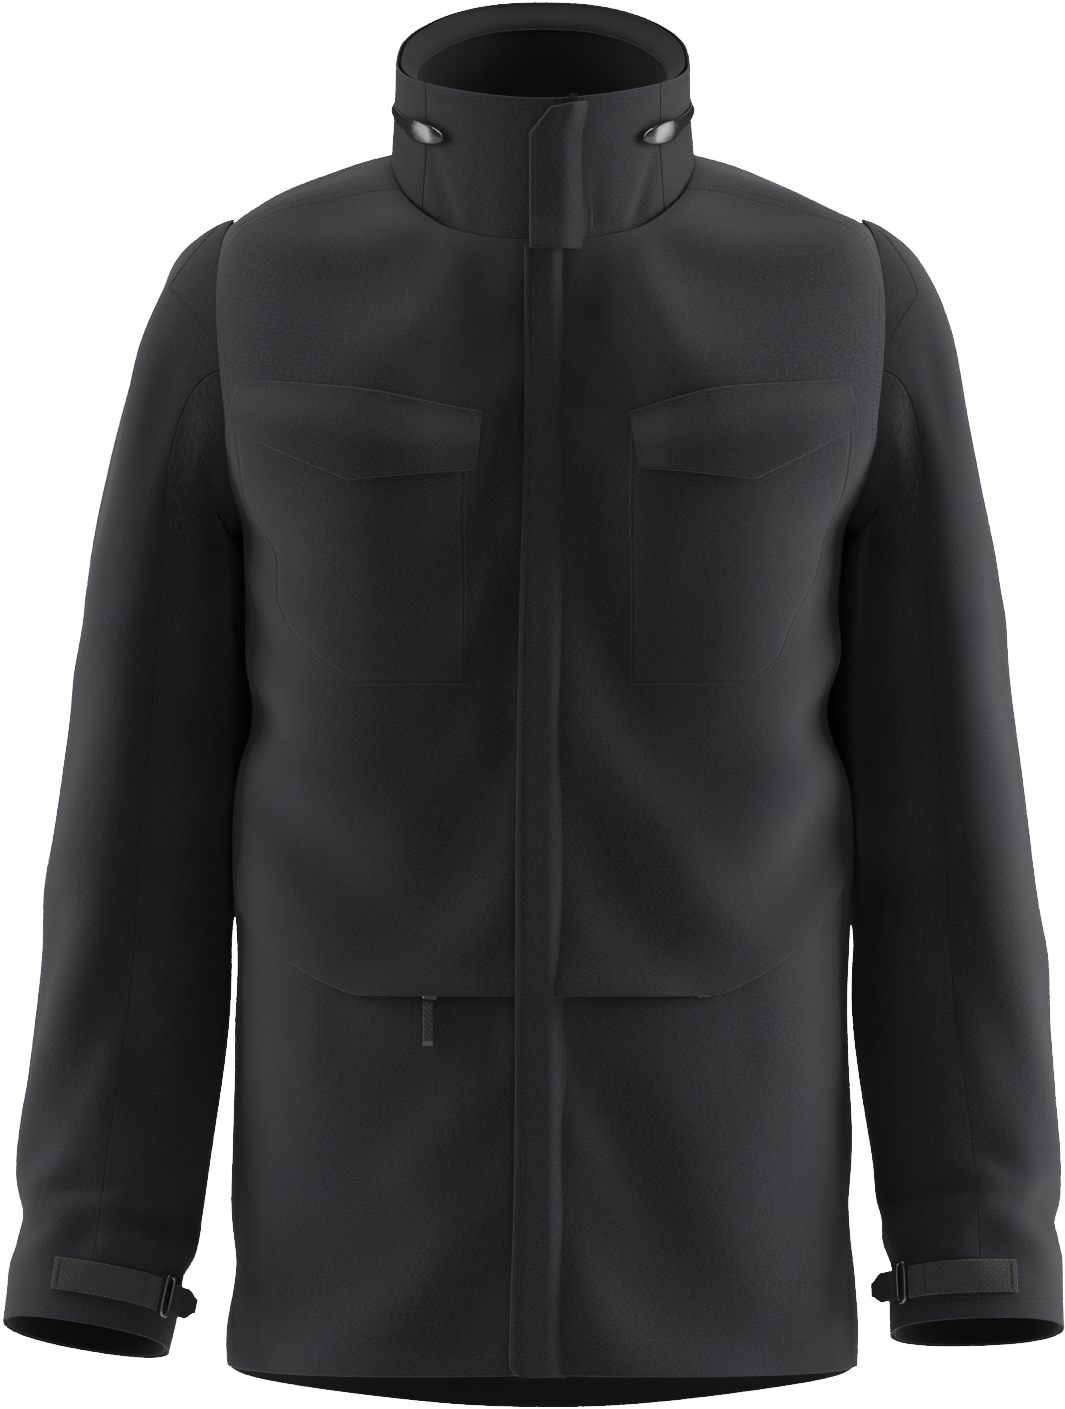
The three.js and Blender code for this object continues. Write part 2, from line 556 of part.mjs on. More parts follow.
// ---- Chest pockets and their flaps ----
// Front-view outlines, x measured out from the centre. Each side follows its own sewn line.
const POCKET = {
  [RIGHT]: {
    inner: 47, low: 458, flapTop: [[38, 624], [103, 636], [156, 642], [190, 645]],
    edge: [
      [458, 112], [487, 151], [508, 162], [524, 163], [541, 167],
      [556, 179], [571, 184], [596, 187], [622, 190],
    ],
    flapLow: [[44, 588], [116, 582.5], [192, 616]],
  },
  [LEFT]: {
    inner: 53, low: 458, flapTop: [[52, 624], [103, 637], [156, 642], [189, 645]],
    edge: [
      [458, 121], [473, 140], [484, 146], [500, 153], [522, 166],
      [549, 175], [576, 184], [600, 188], [622, 189],
    ],
    flapLow: [[61, 589], [126, 583.5], [192, 617]],
  },
};
const POCKET_TOP = 616;
const straight = (points) => (x) => {
  const i = Math.min(points.length - 1, Math.max(1, points.findIndex((p) => p[0] >= x)));
  const [x0, y0] = points[i - 1];
  const [x1, y1] = points[i];
  return lerp(y0, y1, THREE.MathUtils.clamp((x - x0) / (x1 - x0), 0, 1));
};

// A point of the torso's front seen straight on at (x, z).
function torsoFront(x, z) {
  let low = 0;
  let high = 89.5;
  const side = Math.sign(x);
  for (let i = 0; i < 36; i++) {
    const mid = (low + high) / 2;
    if (side * torsoPoint(side * mid, vAt(side * mid, z)).x < Math.abs(x)) low = mid;
    else high = mid;
  }
  return torsoPoint(side * low, vAt(side * low, z));
}
function vAt(theta, z) {
  if (z <= CHEST_Z) return z;
  let low = CHEST_Z;
  let high = NECK;
  for (let i = 0; i < 30; i++) {
    const mid = (low + high) / 2;
    if (torsoPoint(theta, mid).z < z) low = mid;
    else high = mid;
  }
  return low;
}

for (const [name, side] of [["right", RIGHT], ["left", LEFT]]) {
  const pocket = POCKET[side];
  const edge = curve(pocket.edge, false);
  const centre = (s, t) => new THREE.Vector3(0, 0, 560);
  const bag = (s, t) => {
    const z = lerp(pocket.low, POCKET_TOP, t);
    return torsoFront(side * lerp(pocket.inner, edge(z), s), z);
  };
  const bulge = (s, t) => 3.5 + 1.2 * Math.min(1, 6 * Math.min(s, 1 - s, t)) + 1.5 * smooth(s, 0.6, 1);
  add("chest_pocket_" + name, shell(7, 7, PATCH, bag, { lift: bulge, centre }), SHELL_CLOTH);

  const top = curve(pocket.flapTop, false);
  const low = straight(pocket.flapLow);
  const flapX = (s, t) => {
    const upper = lerp(pocket.flapTop[0][0], pocket.flapTop[3][0], s);
    const lower = lerp(pocket.flapLow[0][0], pocket.flapLow[2][0], s);
    return lerp(lower, upper, t);
  };
  const cover = (s, t) => {
    const x = flapX(s, t);
    return torsoFront(side * x, lerp(low(x), top(x), t));
  };
  const stand = (s, t) => lerp(7.7, 4, smooth(t, 0.65, 1)) + 1.5 * smooth(s, 0.6, 1);
  add("chest_flap_" + name, shell(8, 4, PATCH, cover, { lift: stand, centre }), SHELL_CLOTH);
}

// ---- Waist pockets: a short curved zip behind each pocket mouth ----
// The tape and slider lie on an upright circle about a centre well behind the pocket.
const MOUTH = {
  [RIGHT]: { from: 22, to: 122, slider: 69 },
  [LEFT]: { from: 32, to: 122, slider: 98 },
};
const ZIP_Z = WAIST.z - 3;
const circleThrough = (a, b, c) => {
  const d = 2 * (a.x * (b.y - c.y) + b.x * (c.y - a.y) + c.x * (a.y - b.y));
  const sq = (p) => p.x * p.x + p.y * p.y;
  const x = (sq(a) * (b.y - c.y) + sq(b) * (c.y - a.y) + sq(c) * (a.y - b.y)) / d;
  const y = (sq(a) * (c.x - b.x) + sq(b) * (a.x - c.x) + sq(c) * (b.x - a.x)) / d;
  return { x, y, r: Math.hypot(a.x - x, a.y - y) };
};
for (const [name, side] of [["right", RIGHT], ["left", LEFT]]) {
  const { from, to, slider } = MOUTH[side];
  const ring = circleThrough(...[from, (from + to) / 2, to].map((x) => torsoFront(side * x, ZIP_Z)));
  const bearing = (x) => {
    const front = torsoFront(side * x, ZIP_Z);
    return THREE.MathUtils.radToDeg(Math.atan2(side * x - ring.x, ring.y - front.y));
  };
  const holder = new THREE.Group();
  holder.position.set(ring.x, ring.y, ZIP_Z);
  jacket.add(holder);
  const ends = [bearing(from), bearing(to)].sort((a, b) => a - b);
  const tape = ringPiece(...ends, ring.r - 3.6, ring.r - 2.8, -9, 9, 8);
  add("waist_zip_" + name, tape, ZIP_TAPE, holder);
  const at = bearing(slider);
  const half = (4.5 / ring.r) * (180 / Math.PI);
  const body = ringPiece(at - half, at + half, ring.r - 2.3, ring.r - 0.9, -2.4, 2.0, 2);
  add("waist_zip_slider_" + name, body, METAL, holder);
  if (side === RIGHT) {
    const tab = new THREE.Group();
    tab.rotation.z = rad(at);
    tab.position.z = -2.2;
    holder.add(tab);
    const ribbon = new THREE.Shape();
    ribbon.moveTo(-3, 0);
    ribbon.lineTo(3, 0);
    ribbon.lineTo(3, -26);
    ribbon.lineTo(-3, -26);
    const strip = new THREE.ExtrudeGeometry(ribbon, { depth: 1.4, bevelEnabled: false });
    strip.rotateX(Math.PI / 2).translate(0, -ring.r - 3.2, -0.6);
    add("waist_zip_tab", strip, WEBBING, tab);
  }
}

// ---- Sleeves ----
const sleeveCentre = (side, place) => (s, t) => {
  const p = place(s, t);
  const tt = THREE.MathUtils.clamp((540 - p.z) / (540 - 60), 0, 1);
  const [height, out, , deep] = ARM[side].map((f) => f(tt));
  return p.z > 560 ? new THREE.Vector3(side * 190, 5, 600) : new THREE.Vector3(side * out, deep, p.z);
};
function sleeveShell(side, columns, rows, thickness, phi, w, lift = () => 0) {
  const place = (s, t) => sleevePoint(side, phi(s, t), w(s, t));
  return shell(columns, rows, thickness, place, { lift, centre: sleeveCentre(side, place) });
}
const CUFF = { strap: 0.945, half: 10, from: 66, to: 138 };
for (const [name, side] of [["right", RIGHT], ["left", LEFT]]) {
  // Rows are closer together over the shoulder cap than down the arm.
  const down = (s, t) => {
    const u = 1 - t;
    return u < 0.45 ? (CAP_END * u) / 0.45 : lerp(CAP_END, 1, (u - 0.45) / 0.55);
  };
  const outerHalf = (s) => lerp(-89.6, 89.6, s);
  const innerHalf = (s) => lerp(90.4, 269.6, s);
  add("sleeve_outer_" + name, sleeveShell(side, 8, 15, SHELL, outerHalf, down), SHELL_CLOTH);
  add("sleeve_inner_" + name, sleeveShell(side, 8, 15, SHELL, innerHalf, down), SHELL_CLOTH);
  const round = (s) => lerp(0.5, 359.5, s);
  const turned = (s, t) => lerp(1, 0.93, t);
  const facing = sleeveShell(side, 16, 1, PATCH, round, turned, () => -2.2);
  add("cuff_facing_" + name, facing, LINING_CLOTH);

  // Strap: ribbed webbing sewn across the front of the cuff.
  const frame = cuffFrame(side);
  const strapW = (phi, t) => CUFF.strap + ((t - 0.5) * 2 * CUFF.half) / frame.length;
  const strapPhi = (s) => lerp(CUFF.from, CUFF.to, s);
  const strap = sleeveShell(side, 8, 2, 1.4, strapPhi, (s, t) => strapW(strapPhi(s), 1 - t), () => 2.0);
  add("cuff_strap_" + name, strap, WEBBING);

  // Buckle: a slim frame at the strap's end. Its axes: x along the strap, y out, z up the arm.
  const rim = new THREE.Shape();
  rim.moveTo(-4, -13);
  rim.lineTo(4, -13);
  rim.lineTo(4, 13);
  rim.lineTo(-4, 13);
  const gap = new THREE.Path();
  gap.moveTo(-2, -11);
  gap.lineTo(-2, 11);
  gap.lineTo(2, 11);
  gap.lineTo(2, -11);
  rim.holes.push(gap);
  const buckle = new THREE.ExtrudeGeometry(rim, { depth: 2.4, bevelEnabled: false }).translate(0, 0, 3.4);
  const seat = new THREE.Group();
  seat.matrixAutoUpdate = false;
  seat.matrix.copy(frame.matrix);
  jacket.add(seat);
  add("cuff_buckle_" + name, buckle, METAL, seat);

  // Pointed tab that is pulled to tighten the strap.
  const tip = new THREE.Shape();
  tip.moveTo(-1.2, -9.5);
  tip.lineTo(16, -9.5);
  tip.lineTo(22, -4);
  tip.lineTo(22, 5);
  tip.lineTo(17, 9.5);
  tip.lineTo(-1.2, 9.5);
  const tab = new THREE.ExtrudeGeometry(tip, { depth: 1.4, bevelEnabled: false }).translate(6, 0, 2.2);
  add("cuff_tab_" + name, tab, SHELL_CLOTH, seat);
}

// Frame at the strap's inner end: x along the strap, y up the arm, z away from the sleeve.
function cuffFrame(side) {
  const at = (phi, w) => sleevePoint(side, phi, w);
  const here = at(CUFF.to, CUFF.strap);
  const along = at(CUFF.to + 4, CUFF.strap).sub(at(CUFF.to - 4, CUFF.strap)).normalize();
  const up = at(CUFF.to, CUFF.strap - 0.02).sub(at(CUFF.to, CUFF.strap + 0.02));
  const length = up.length() / 0.04;
  up.addScaledVector(along, -up.dot(along)).normalize();
  const out = along.clone().cross(up);
  const middle = sleeveCentre(side, () => here)(0, 0);
  if (out.dot(here.clone().sub(middle)) < 0) {
    out.negate();
    up.negate();
  }
  const origin = here.clone().addScaledVector(along, 4.5);
  const matrix = new THREE.Matrix4().makeBasis(along, up, out).setPosition(origin);
  return { matrix, origin, along, up, out, length };
}

// ---- Origin at the hanger loop ----
for (const piece of jacket.children) {
  piece.position.sub(new THREE.Vector3(...HANGER));
  if (!piece.matrixAutoUpdate) {
    const place = new THREE.Vector3().setFromMatrixPosition(piece.matrix);
    piece.matrix.setPosition(place.sub(new THREE.Vector3(...HANGER)));
  }
}

export default jacket;
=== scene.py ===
import math

import bpy
import numpy as np
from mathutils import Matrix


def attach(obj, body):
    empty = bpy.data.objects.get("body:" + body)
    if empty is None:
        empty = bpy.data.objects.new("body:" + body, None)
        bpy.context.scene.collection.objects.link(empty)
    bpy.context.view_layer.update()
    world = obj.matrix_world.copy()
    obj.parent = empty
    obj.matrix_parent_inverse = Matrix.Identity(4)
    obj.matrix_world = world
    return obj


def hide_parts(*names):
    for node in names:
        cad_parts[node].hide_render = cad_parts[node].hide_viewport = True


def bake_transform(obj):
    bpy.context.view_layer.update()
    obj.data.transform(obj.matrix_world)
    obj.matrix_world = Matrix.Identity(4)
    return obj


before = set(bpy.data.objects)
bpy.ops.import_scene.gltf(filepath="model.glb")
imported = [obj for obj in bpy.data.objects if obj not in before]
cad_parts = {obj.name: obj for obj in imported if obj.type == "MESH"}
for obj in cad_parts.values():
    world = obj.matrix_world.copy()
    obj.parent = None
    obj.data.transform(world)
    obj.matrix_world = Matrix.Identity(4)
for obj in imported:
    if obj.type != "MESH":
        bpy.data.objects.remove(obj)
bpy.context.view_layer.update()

# ---------------------------------------------------------------- torso cloth form
# The jacket's trunk hangs as one smooth tube of laminated nylon, cut into panels by its seams.
# Every panel is laid on this form, addressed by an angle from centre front and a height, in
# millimetres above the back hem; the frame's origin is the hanger loop in the back neck.
LOOP_SEAT = np.array([0.0, 54.0, 812.0])
CHEST, NECK = 620.0, 820.0


def to_frame(points):
    return (np.asarray(points, float) - LOOP_SEAT) / 1000.0


def soft_curve(points, flat_ends=True):
    xs, ys = np.array(points, float).T
    slope = np.gradient(ys, xs)
    slope[1:-1] = (ys[2:] - ys[:-2]) / (xs[2:] - xs[:-2])
    if flat_ends:
        slope[0] = slope[-1] = 0.0

    def at(x):
        x = np.clip(np.asarray(x, float), xs[0], xs[-1])
        i = np.clip(np.searchsorted(xs, x, side="right"), 1, len(xs) - 1)
        w = xs[i] - xs[i - 1]
        t = (x - xs[i - 1]) / w
        s = 1 - t
        ends = ys[i - 1] * s * s * (1 + 2 * t) + ys[i] * t * t * (3 - 2 * t)
        return ends + w * t * s * (slope[i - 1] * s - slope[i] * t)

    return at


def ease(x, low, high):
    t = np.clip((np.asarray(x, float) - low) / (high - low), 0, 1)
    return t * t * (3 - 2 * t)


def mix(a, b, t):
    return a + (b - a) * t


def front_line(z):
    return -132 + 34 / 795 * (z - 20)


half_width = soft_curve(
    [(0, 193), (140, 192), (290, 189), (380, 189), (480, 183), (550, 185), (590, 199), (620, 206)]
)
back_depth = soft_curve([(0, 113), (300, 108), (480, 117), (620, 124)])
boxiness = soft_curve([(0, 2.4), (300, 2.3), (480, 2.7), (560, 3.2), (620, 4.2)])
sway = soft_curve([(0, 0), (540, 0), (620, 5)])
neck_height = soft_curve([(0, 728.5), (35, 735), (60, 753), (90, 780), (130, 795), (180, 800)])
RISE_ANGLES = (0, 40, 70, 90, 110, 140, 180)
RISE_LOW = [
    (0, -104.8, 656), (91, -104, 670), (220, -60, 744), (231.5, -4, 752), (220, 62, 752), (112, 123, 718),
    (0, 126, 700)
]
RISE_HIGH = [
    (0, -103.3, 692), (78, -93, 712), (158, -50, 754), (170, -6, 763), (156, 45, 767), (90, 95, 768),
    (0, 100, 772)
]
rise_low = [soft_curve(list(zip(RISE_ANGLES, [p[k] for p in RISE_LOW])), k > 0) for k in range(3)]
rise_high = [soft_curve(list(zip(RISE_ANGLES, [p[k] for p in RISE_HIGH])), k > 0) for k in range(3)]


def torso_slice(theta, z):
    s, c = np.sin(np.radians(theta)), np.cos(np.radians(theta))
    depth = np.where(c > 0, -front_line(z), back_depth(z))
    n = boxiness(z)
    r = (np.abs(s / half_width(z)) ** n + np.abs(c / depth) ** n) ** (-1 / n)
    return np.stack([sway(z) + r * s, -r * c, z + 0 * r], -1)


def torso_form(theta, v):
    theta, v = np.broadcast_arrays(np.asarray(theta, float), np.asarray(v, float))
    theta = np.where(theta > 180, theta - 360, theta)
    low = torso_slice(theta, np.minimum(v, CHEST))
    t = np.clip((v - CHEST) / (NECK - CHEST), 0, 1)[..., None]
    side, at = np.where(theta < 0, -1.0, 1.0), np.abs(theta)
    p1 = np.stack([side * rise_low[0](at) + 5.5, rise_low[1](at), rise_low[2](at)], -1)
    p2 = np.stack([side * rise_high[0](at), rise_high[1](at), rise_high[2](at)], -1)
    a = np.radians(theta)
    p3 = np.stack([93 * np.sin(a), -13 - 89 * np.cos(a), neck_height(at)], -1)
    p = low * (1 - t) ** 3 + 3 * p1 * t * (1 - t) ** 2 + 3 * p2 * t * t * (1 - t) + p3 * t**3
    out = np.abs(p[..., 0])
    bell = np.exp(-(((out - 95) / 58) ** 2) / 2 - (((p[..., 2] - 590) / 105) ** 2) / 2)
    p[..., 1] -= np.where(p[..., 1] > 0, 0, 15 * bell * ease(out, 22, 80))
    # The shoulder point stands up where the sleeve head is set in.
    p[..., 2] += 9 * np.exp(-(((at - 90) / 19) ** 2) - ((v - 700) / 22) ** 2)
    # The sides fall in a little where the arms hang against them.
    side_dip = 8 * np.exp(-(((p[..., 2] - 442) / 30) ** 2)) * ease(at, 50, 74) * (1 - ease(at, 96, 118))
    p[..., 0] -= side * side_dip
    return p


def normals_of(form, u, v, du, dv, centre):
    across = form(u + du, v) - form(u - du, v)
    upward = form(u, v + dv) - form(u, v - dv)
    n = np.cross(across, upward)
    n /= np.linalg.norm(n, axis=-1, keepdims=True) + 1e-12
    here = form(u, v)
    inward = np.sum(n * (here - centre(here)), -1, keepdims=True) < 0
    return here, np.where(inward, -n, n)


def torso_centre(p):
    high = p[..., 2:3] > 700
    flat = np.concatenate([0 * p[..., :2], p[..., 2:3]], -1)
    return np.where(high, p * np.array([0.5, 0, 0]) + np.array([0, 0, 640.0]), flat)


# Loose cloth hangs in long shallow folds: the whole trunk is settled once as a cloth held along
# its seams, a little longer than its form, and the panels take their waves from it.
ARMHOLE_V, ARMHOLE_ACROSS, ARMHOLE_TALL = 637.5, 19.0, 72.5
WAIST, SIDE_SEAM = 272.0, 80.0


def waist_seam(theta):
    corner = np.where(theta < 0, 46, 44)
    top = np.where(theta < 0, 328, 342)
    t = np.clip((np.abs(theta) - corner) / (SIDE_SEAM - corner), 0, None)
    return mix(WAIST, top, t**1.4)


def fold(x, z, start, end, height, width):
    """A soft ridge between two points seen from the front; height is negative for a valley."""
    a, b = np.array(start, float), np.array(end, float)
    d = b - a
    along = ((x - a[0]) * d[0] + (z - a[1]) * d[1]) / (d @ d)
    reach = np.hypot(x - a[0] - np.clip(along, 0, 1) * d[0], z - a[1] - np.clip(along, 0, 1) * d[1])
    taper = ease(along, -0.15, 0.25) * (1 - ease(along, 0.7, 1.15))
    return height * taper * np.exp(-((reach / width) ** 2) / 2)


def smooth_noise(u, v, seed, scale):
    """Slow seeded waviness, a sum of a few sines."""
    rng = np.random.default_rng(seed)
    total = 0
    for _ in range(7):
        ku, kv = rng.normal(0, 1, 2) / scale
        total = total + np.sin(ku * u + kv * v + rng.uniform(0, 6.28)) / 2.6
    return total


def settle(points, hold, closed, grow, frames, weight):
    """Lets a sheet of cloth given as a grid relax; hold is 1 where it is sewn down."""
    nu, nv = points.shape[:2]
    index = np.arange(nu * nv).reshape(nu, nv)
    rows = index if not closed else np.vstack([index, index[:1]])
    quads = np.stack([rows[:-1, :-1], rows[1:, :-1], rows[1:, 1:], rows[:-1, 1:]], -1).reshape(-1, 4)
    mesh = bpy.data.meshes.new("settling")
    mesh.from_pydata((points.reshape(-1, 3) / 1000).tolist(), [], quads.tolist())
    obj = bpy.data.objects.new("settling", mesh)
    bpy.context.scene.collection.objects.link(obj)
    group = obj.vertex_groups.new(name="sewn")
    flat = np.round(hold.reshape(-1), 2)
    for value in np.unique(flat):
        group.add([int(i) for i in np.where(flat == value)[0]], float(value), "REPLACE")
    cloth = obj.modifiers.new("Cloth", "CLOTH")
    cloth.settings.quality = 6
    cloth.settings.mass = 0.18
    cloth.settings.air_damping = 4
    cloth.settings.tension_stiffness = 30
    cloth.settings.compression_stiffness = 30
    cloth.settings.shear_stiffness = 12
    cloth.settings.bending_stiffness = 4.0
    cloth.settings.vertex_group_mass = "sewn"
    cloth.settings.pin_stiffness = 1.0
    cloth.settings.shrink_min = -grow
    cloth.settings.effector_weights.gravity = weight
    cloth.collision_settings.use_collision = False
    cloth.point_cache.frame_start = 1
    cloth.point_cache.frame_end = frames
    scene = bpy.context.scene
    for f in range(1, frames + 1):
        scene.frame_set(f)
    baked = obj.evaluated_get(bpy.context.evaluated_depsgraph_get())
    out = np.empty(nu * nv * 3)
    baked.data.vertices.foreach_get("co", out)
    scene.frame_set(1)
    bpy.data.objects.remove(obj)
    return out.reshape(nu, nv, 3) * 1000


def blur(field, times, closed):
    for _ in range(times):
        pad = np.pad(field, ((1, 1), (0, 0)), mode="wrap" if closed else "edge")
        field = (pad[:-2] + 2 * pad[1:-1] + pad[2:]) / 4
        pad = np.pad(field, ((0, 0), (1, 1)), mode="edge")
        field = (pad[:, :-2] + 2 * pad[:, 1:-1] + pad[:, 2:]) / 4
    return field


def lookup(field, u, v):
    """Reads a grid of values at fractional rows u and columns v."""
    nu, nv = field.shape
    u = np.clip(u, 0, nu - 1.001)
    v = np.clip(v, 0, nv - 1.001)
    i, j = u.astype(int), v.astype(int)
    a, b = u - i, v - j
    top = field[i, j] * (1 - b) + field[i, j + 1] * b
    low = field[i + 1, j] * (1 - b) + field[i + 1, j + 1] * b
    return top * (1 - a) + low * a


trunk_theta = np.linspace(-180, 180, 145)[:-1]
trunk_v = np.linspace(20, NECK, 101)
grid_theta, grid_v = np.meshgrid(trunk_theta, trunk_v, indexing="ij")
trunk, trunk_normal = normals_of(torso_form, grid_theta, grid_v, 0.5, 0.5, torso_centre)

tx, tz = trunk[..., 0], trunk[..., 2]
facing = ease(-trunk[..., 1], -10, 30)
start_folds = 0.5 * smooth_noise(grid_theta, grid_v / 3, 3, 14)
for a, b, height, width in (
    ((-70, 705), (-130, 600), 2.5, 16),
    ((72, 705), (120, 610), 2.5, 16),
    ((-110, 690), (-165, 640), -2.0, 14),
    ((-172, 430), (-120, 370), 3.5, 14),
    ((-178, 395), (-110, 330), -4.0, 14),
    ((-178, 355), (-120, 305), 3.0, 13),
    ((174, 420), (120, 350), 4.0, 15),
    ((178, 385), (140, 320), -4.0, 13),
    ((-21, 540), (-22, 385), -8, 6),
    ((-42, 540), (-36, 400), 2.5, 12),
    ((45, 455), (75, 330), 2.5, 18),
    ((-150, 250), (-60, 120), 3.0, 26),
    ((150, 250), (90, 90), 3.0, 26),
    ((40, 240), (60, 60), -2.5, 18),
    ((-192, 556), (-150, 530), -5.0, 7),
    ((-192, 534), (-158, 520), 4.0, 6),
    ((-190, 502), (-150, 470), -4.5, 8),
    ((-192, 476), (-140, 440), 4.5, 8),
    ((-190, 448), (-150, 420), -5.5, 7),
    ((192, 560), (160, 535), -4.5, 7),
    ((192, 520), (150, 480), -4.0, 8),
    ((192, 490), (150, 455), 4.0, 8),
    ((192, 446), (150, 418), -5.5, 8),
    ((-20, 700), (-70, 640), -1.5, 12),
    ((20, 690), (60, 640), -1.5, 12),
):
    start_folds = start_folds + facing * fold(tx, tz, a, b, height, width)
back_side = 1 - facing
for a, b, height, width in (
    ((-120, 690), (-60, 560), 4, 18),
    ((120, 690), (60, 560), 4, 18),
    ((-30, 520), (-60, 300), 3, 22),
    ((50, 500), (40, 260), -3, 20),
    ((-150, 420), (-60, 380), -4, 14),
    ((150, 430), (70, 370), 4, 14),
    ((-150, 360), (-40, 330), 3.5, 13),
    ((0, 250), (20, 60), 3.5, 26),
    ((-100, 220), (-90, 60), -3, 22),
):
    start_folds = start_folds + back_side * fold(tx, tz, a, b, height, width)

around = np.abs(grid_theta)
near_armhole = ((around - 86) / (ARMHOLE_ACROSS + 9)) ** 2 + ((grid_v - ARMHOLE_V) / (ARMHOLE_TALL + 8)) ** 2
sewn = np.full(grid_theta.shape, 0.04)
sewn = np.maximum(sewn, 0.35 * np.exp(-(((around - 80) / 2.0) ** 2)))
sewn = np.maximum(sewn, 0.35 * np.exp(-(((around - 100) / 2.0) ** 2)))
sewn = np.maximum(sewn, 0.5 * np.exp(-(((grid_v - waist_seam(grid_theta)) / 9) ** 2)) * (around < 82))
sewn[near_armhole < 1] = 1
sewn[around < 6] = 1
sewn[grid_v > NECK - 12] = 1
sewn[grid_v < 30] = 0.6
pushed = trunk + trunk_normal * (start_folds * 0.8)[..., None]
pushed = np.where((sewn >= 1)[..., None], trunk, pushed)
settled = settle(pushed, sewn, True, 0.012, 24, 0.35)
trunk_waves = np.sum((settled - trunk) * trunk_normal, -1)
trunk_waves = blur(trunk_waves, 2, True) - blur(trunk_waves, 70, True)
trunk_waves = 7 * np.tanh(trunk_waves / 7) + 0.45 * start_folds
trunk_waves = np.where(sewn >= 1, 0, trunk_waves)
trunk_waves = blur(trunk_waves, 2, True)
# Behind the pocket mouths the cloth lies flat, a little in, so that the zips run clear.
mouths = ease(np.abs(tx), 16, 30) * (1 - ease(np.abs(tx), 118, 140))
mouths = mouths * facing * np.exp(-(((grid_v - 256) / 34) ** 4))
trunk_waves = trunk_waves * (1 - mouths) - 1.0 * mouths
trunk_waves = np.vstack([trunk_waves, trunk_waves[:1]])


def on_torso(theta, v):
    """Points and outward normals on the hanging trunk."""
    p, n = normals_of(torso_form, theta, v, 0.3, 0.3, torso_centre)
    wrapped = np.where(np.asarray(theta) > 180, np.asarray(theta) - 360, theta)
    rise = lookup(trunk_waves, (wrapped + 180) / 2.5, (v - 20) / 8.0)
    return p + n * rise[..., None], n


# ---------------------------------------------------------------- the shell cloth's finish
# Black nylon laminate: a fine twill with a faint slub, a soft sheen at grazing angles, and a
# little lint and lightening where it has been handled.


def node_group(name, inputs, outputs):
    group = bpy.data.node_groups.new(name, "ShaderNodeTree")
    for label, value in inputs:
        kind = "NodeSocketColor" if isinstance(value, tuple) and len(value) == 4 else "NodeSocketFloat"
        socket = group.interface.new_socket(name=label, in_out="INPUT", socket_type=kind)
        socket.default_value = value
    for label, kind in outputs:
        group.interface.new_socket(name=label, in_out="OUTPUT", socket_type=kind)
    return group, group.nodes.new("NodeGroupInput"), group.nodes.new("NodeGroupOutput")


def joined(tree, kind, links=(), **settings):
    """A node with its settings and the sockets that feed it."""
    node = tree.nodes.new(kind)
    for key, value in settings.items():
        if key.startswith("_"):
            node.inputs[int(key[1:])].default_value = value
        else:
            setattr(node, key, value)
    for slot, source in links:
        tree.links.new(source, node.inputs[slot])
    return node


weave, weave_in, weave_out = node_group(
    "woven_cloth",
    [
        ("Base", (0.02, 0.02, 0.02, 1)), ("Thread", (0.05, 0.05, 0.05, 1)), ("Pitch", 0.0006),
        ("Slub", 0.5), ("Wear", 0.3)
    ],
    [("Colour", "NodeSocketColor"), ("Height", "NodeSocketFloat"), ("Roughness", "NodeSocketFloat")],
)
cloth_uv = joined(weave, "ShaderNodeUVMap", uv_map="cloth")
per_pitch = joined(weave, "ShaderNodeMath", [(1, weave_in.outputs["Pitch"])], operation="DIVIDE", _0=1.0)
threads = joined(weave, "ShaderNodeVectorMath", [(0, cloth_uv.outputs[0])], operation="SCALE")
weave.links.new(per_pitch.outputs[0], threads.inputs[3])
twill = joined(
    weave, "ShaderNodeTexWave", [(0, threads.outputs[0])], wave_type="BANDS", bands_direction="DIAGONAL",
    _1=0.25, _2=1.6, _3=1.0
)
weft = joined(
    weave, "ShaderNodeTexWave", [(0, threads.outputs[0])], wave_type="BANDS", bands_direction="Y", _1=0.5,
    _2=0.8, _3=1.0
)
both = joined(weave, "ShaderNodeMath", [(0, twill.outputs[1]), (1, weft.outputs[1])], operation="MULTIPLY")
stretch = joined(weave, "ShaderNodeMapping", [(0, cloth_uv.outputs[0])], _3=(420, 1300, 1))
slub = joined(weave, "ShaderNodeTexNoise", [(0, stretch.outputs[0])], _2=1.0, _3=3.0, _4=0.6)
slow = joined(weave, "ShaderNodeTexNoise", [(0, cloth_uv.outputs[0])], _2=14.0, _3=4.0, _4=0.55)
lint = joined(weave, "ShaderNodeTexNoise", [(0, cloth_uv.outputs[0])], _2=1400.0, _3=1.0, _4=0.5)
lint_spots = joined(weave, "ShaderNodeMapRange", [(0, lint.outputs[0])], _1=0.74, _2=0.8, _3=0.0, _4=0.35)
slub_part = joined(weave, "ShaderNodeMapRange", [(0, slub.outputs[0])], _1=0.36, _2=0.68)
slub_amount = joined(
    weave, "ShaderNodeMath", [(0, slub_part.outputs[0]), (1, weave_in.outputs["Slub"])],
    operation="MULTIPLY"
)
wear_part = joined(weave, "ShaderNodeMapRange", [(0, slow.outputs[0])], _1=0.42, _2=0.7)
wear_amount = joined(
    weave, "ShaderNodeMath", [(0, wear_part.outputs[0]), (1, weave_in.outputs["Wear"])],
    operation="MULTIPLY"
)
sum_a = joined(
    weave, "ShaderNodeMath", [(0, slub_amount.outputs[0]), (1, wear_amount.outputs[0])], operation="ADD"
)
sum_b = joined(weave, "ShaderNodeMath", [(0, both.outputs[0])], operation="MULTIPLY_ADD", _1=0.25)
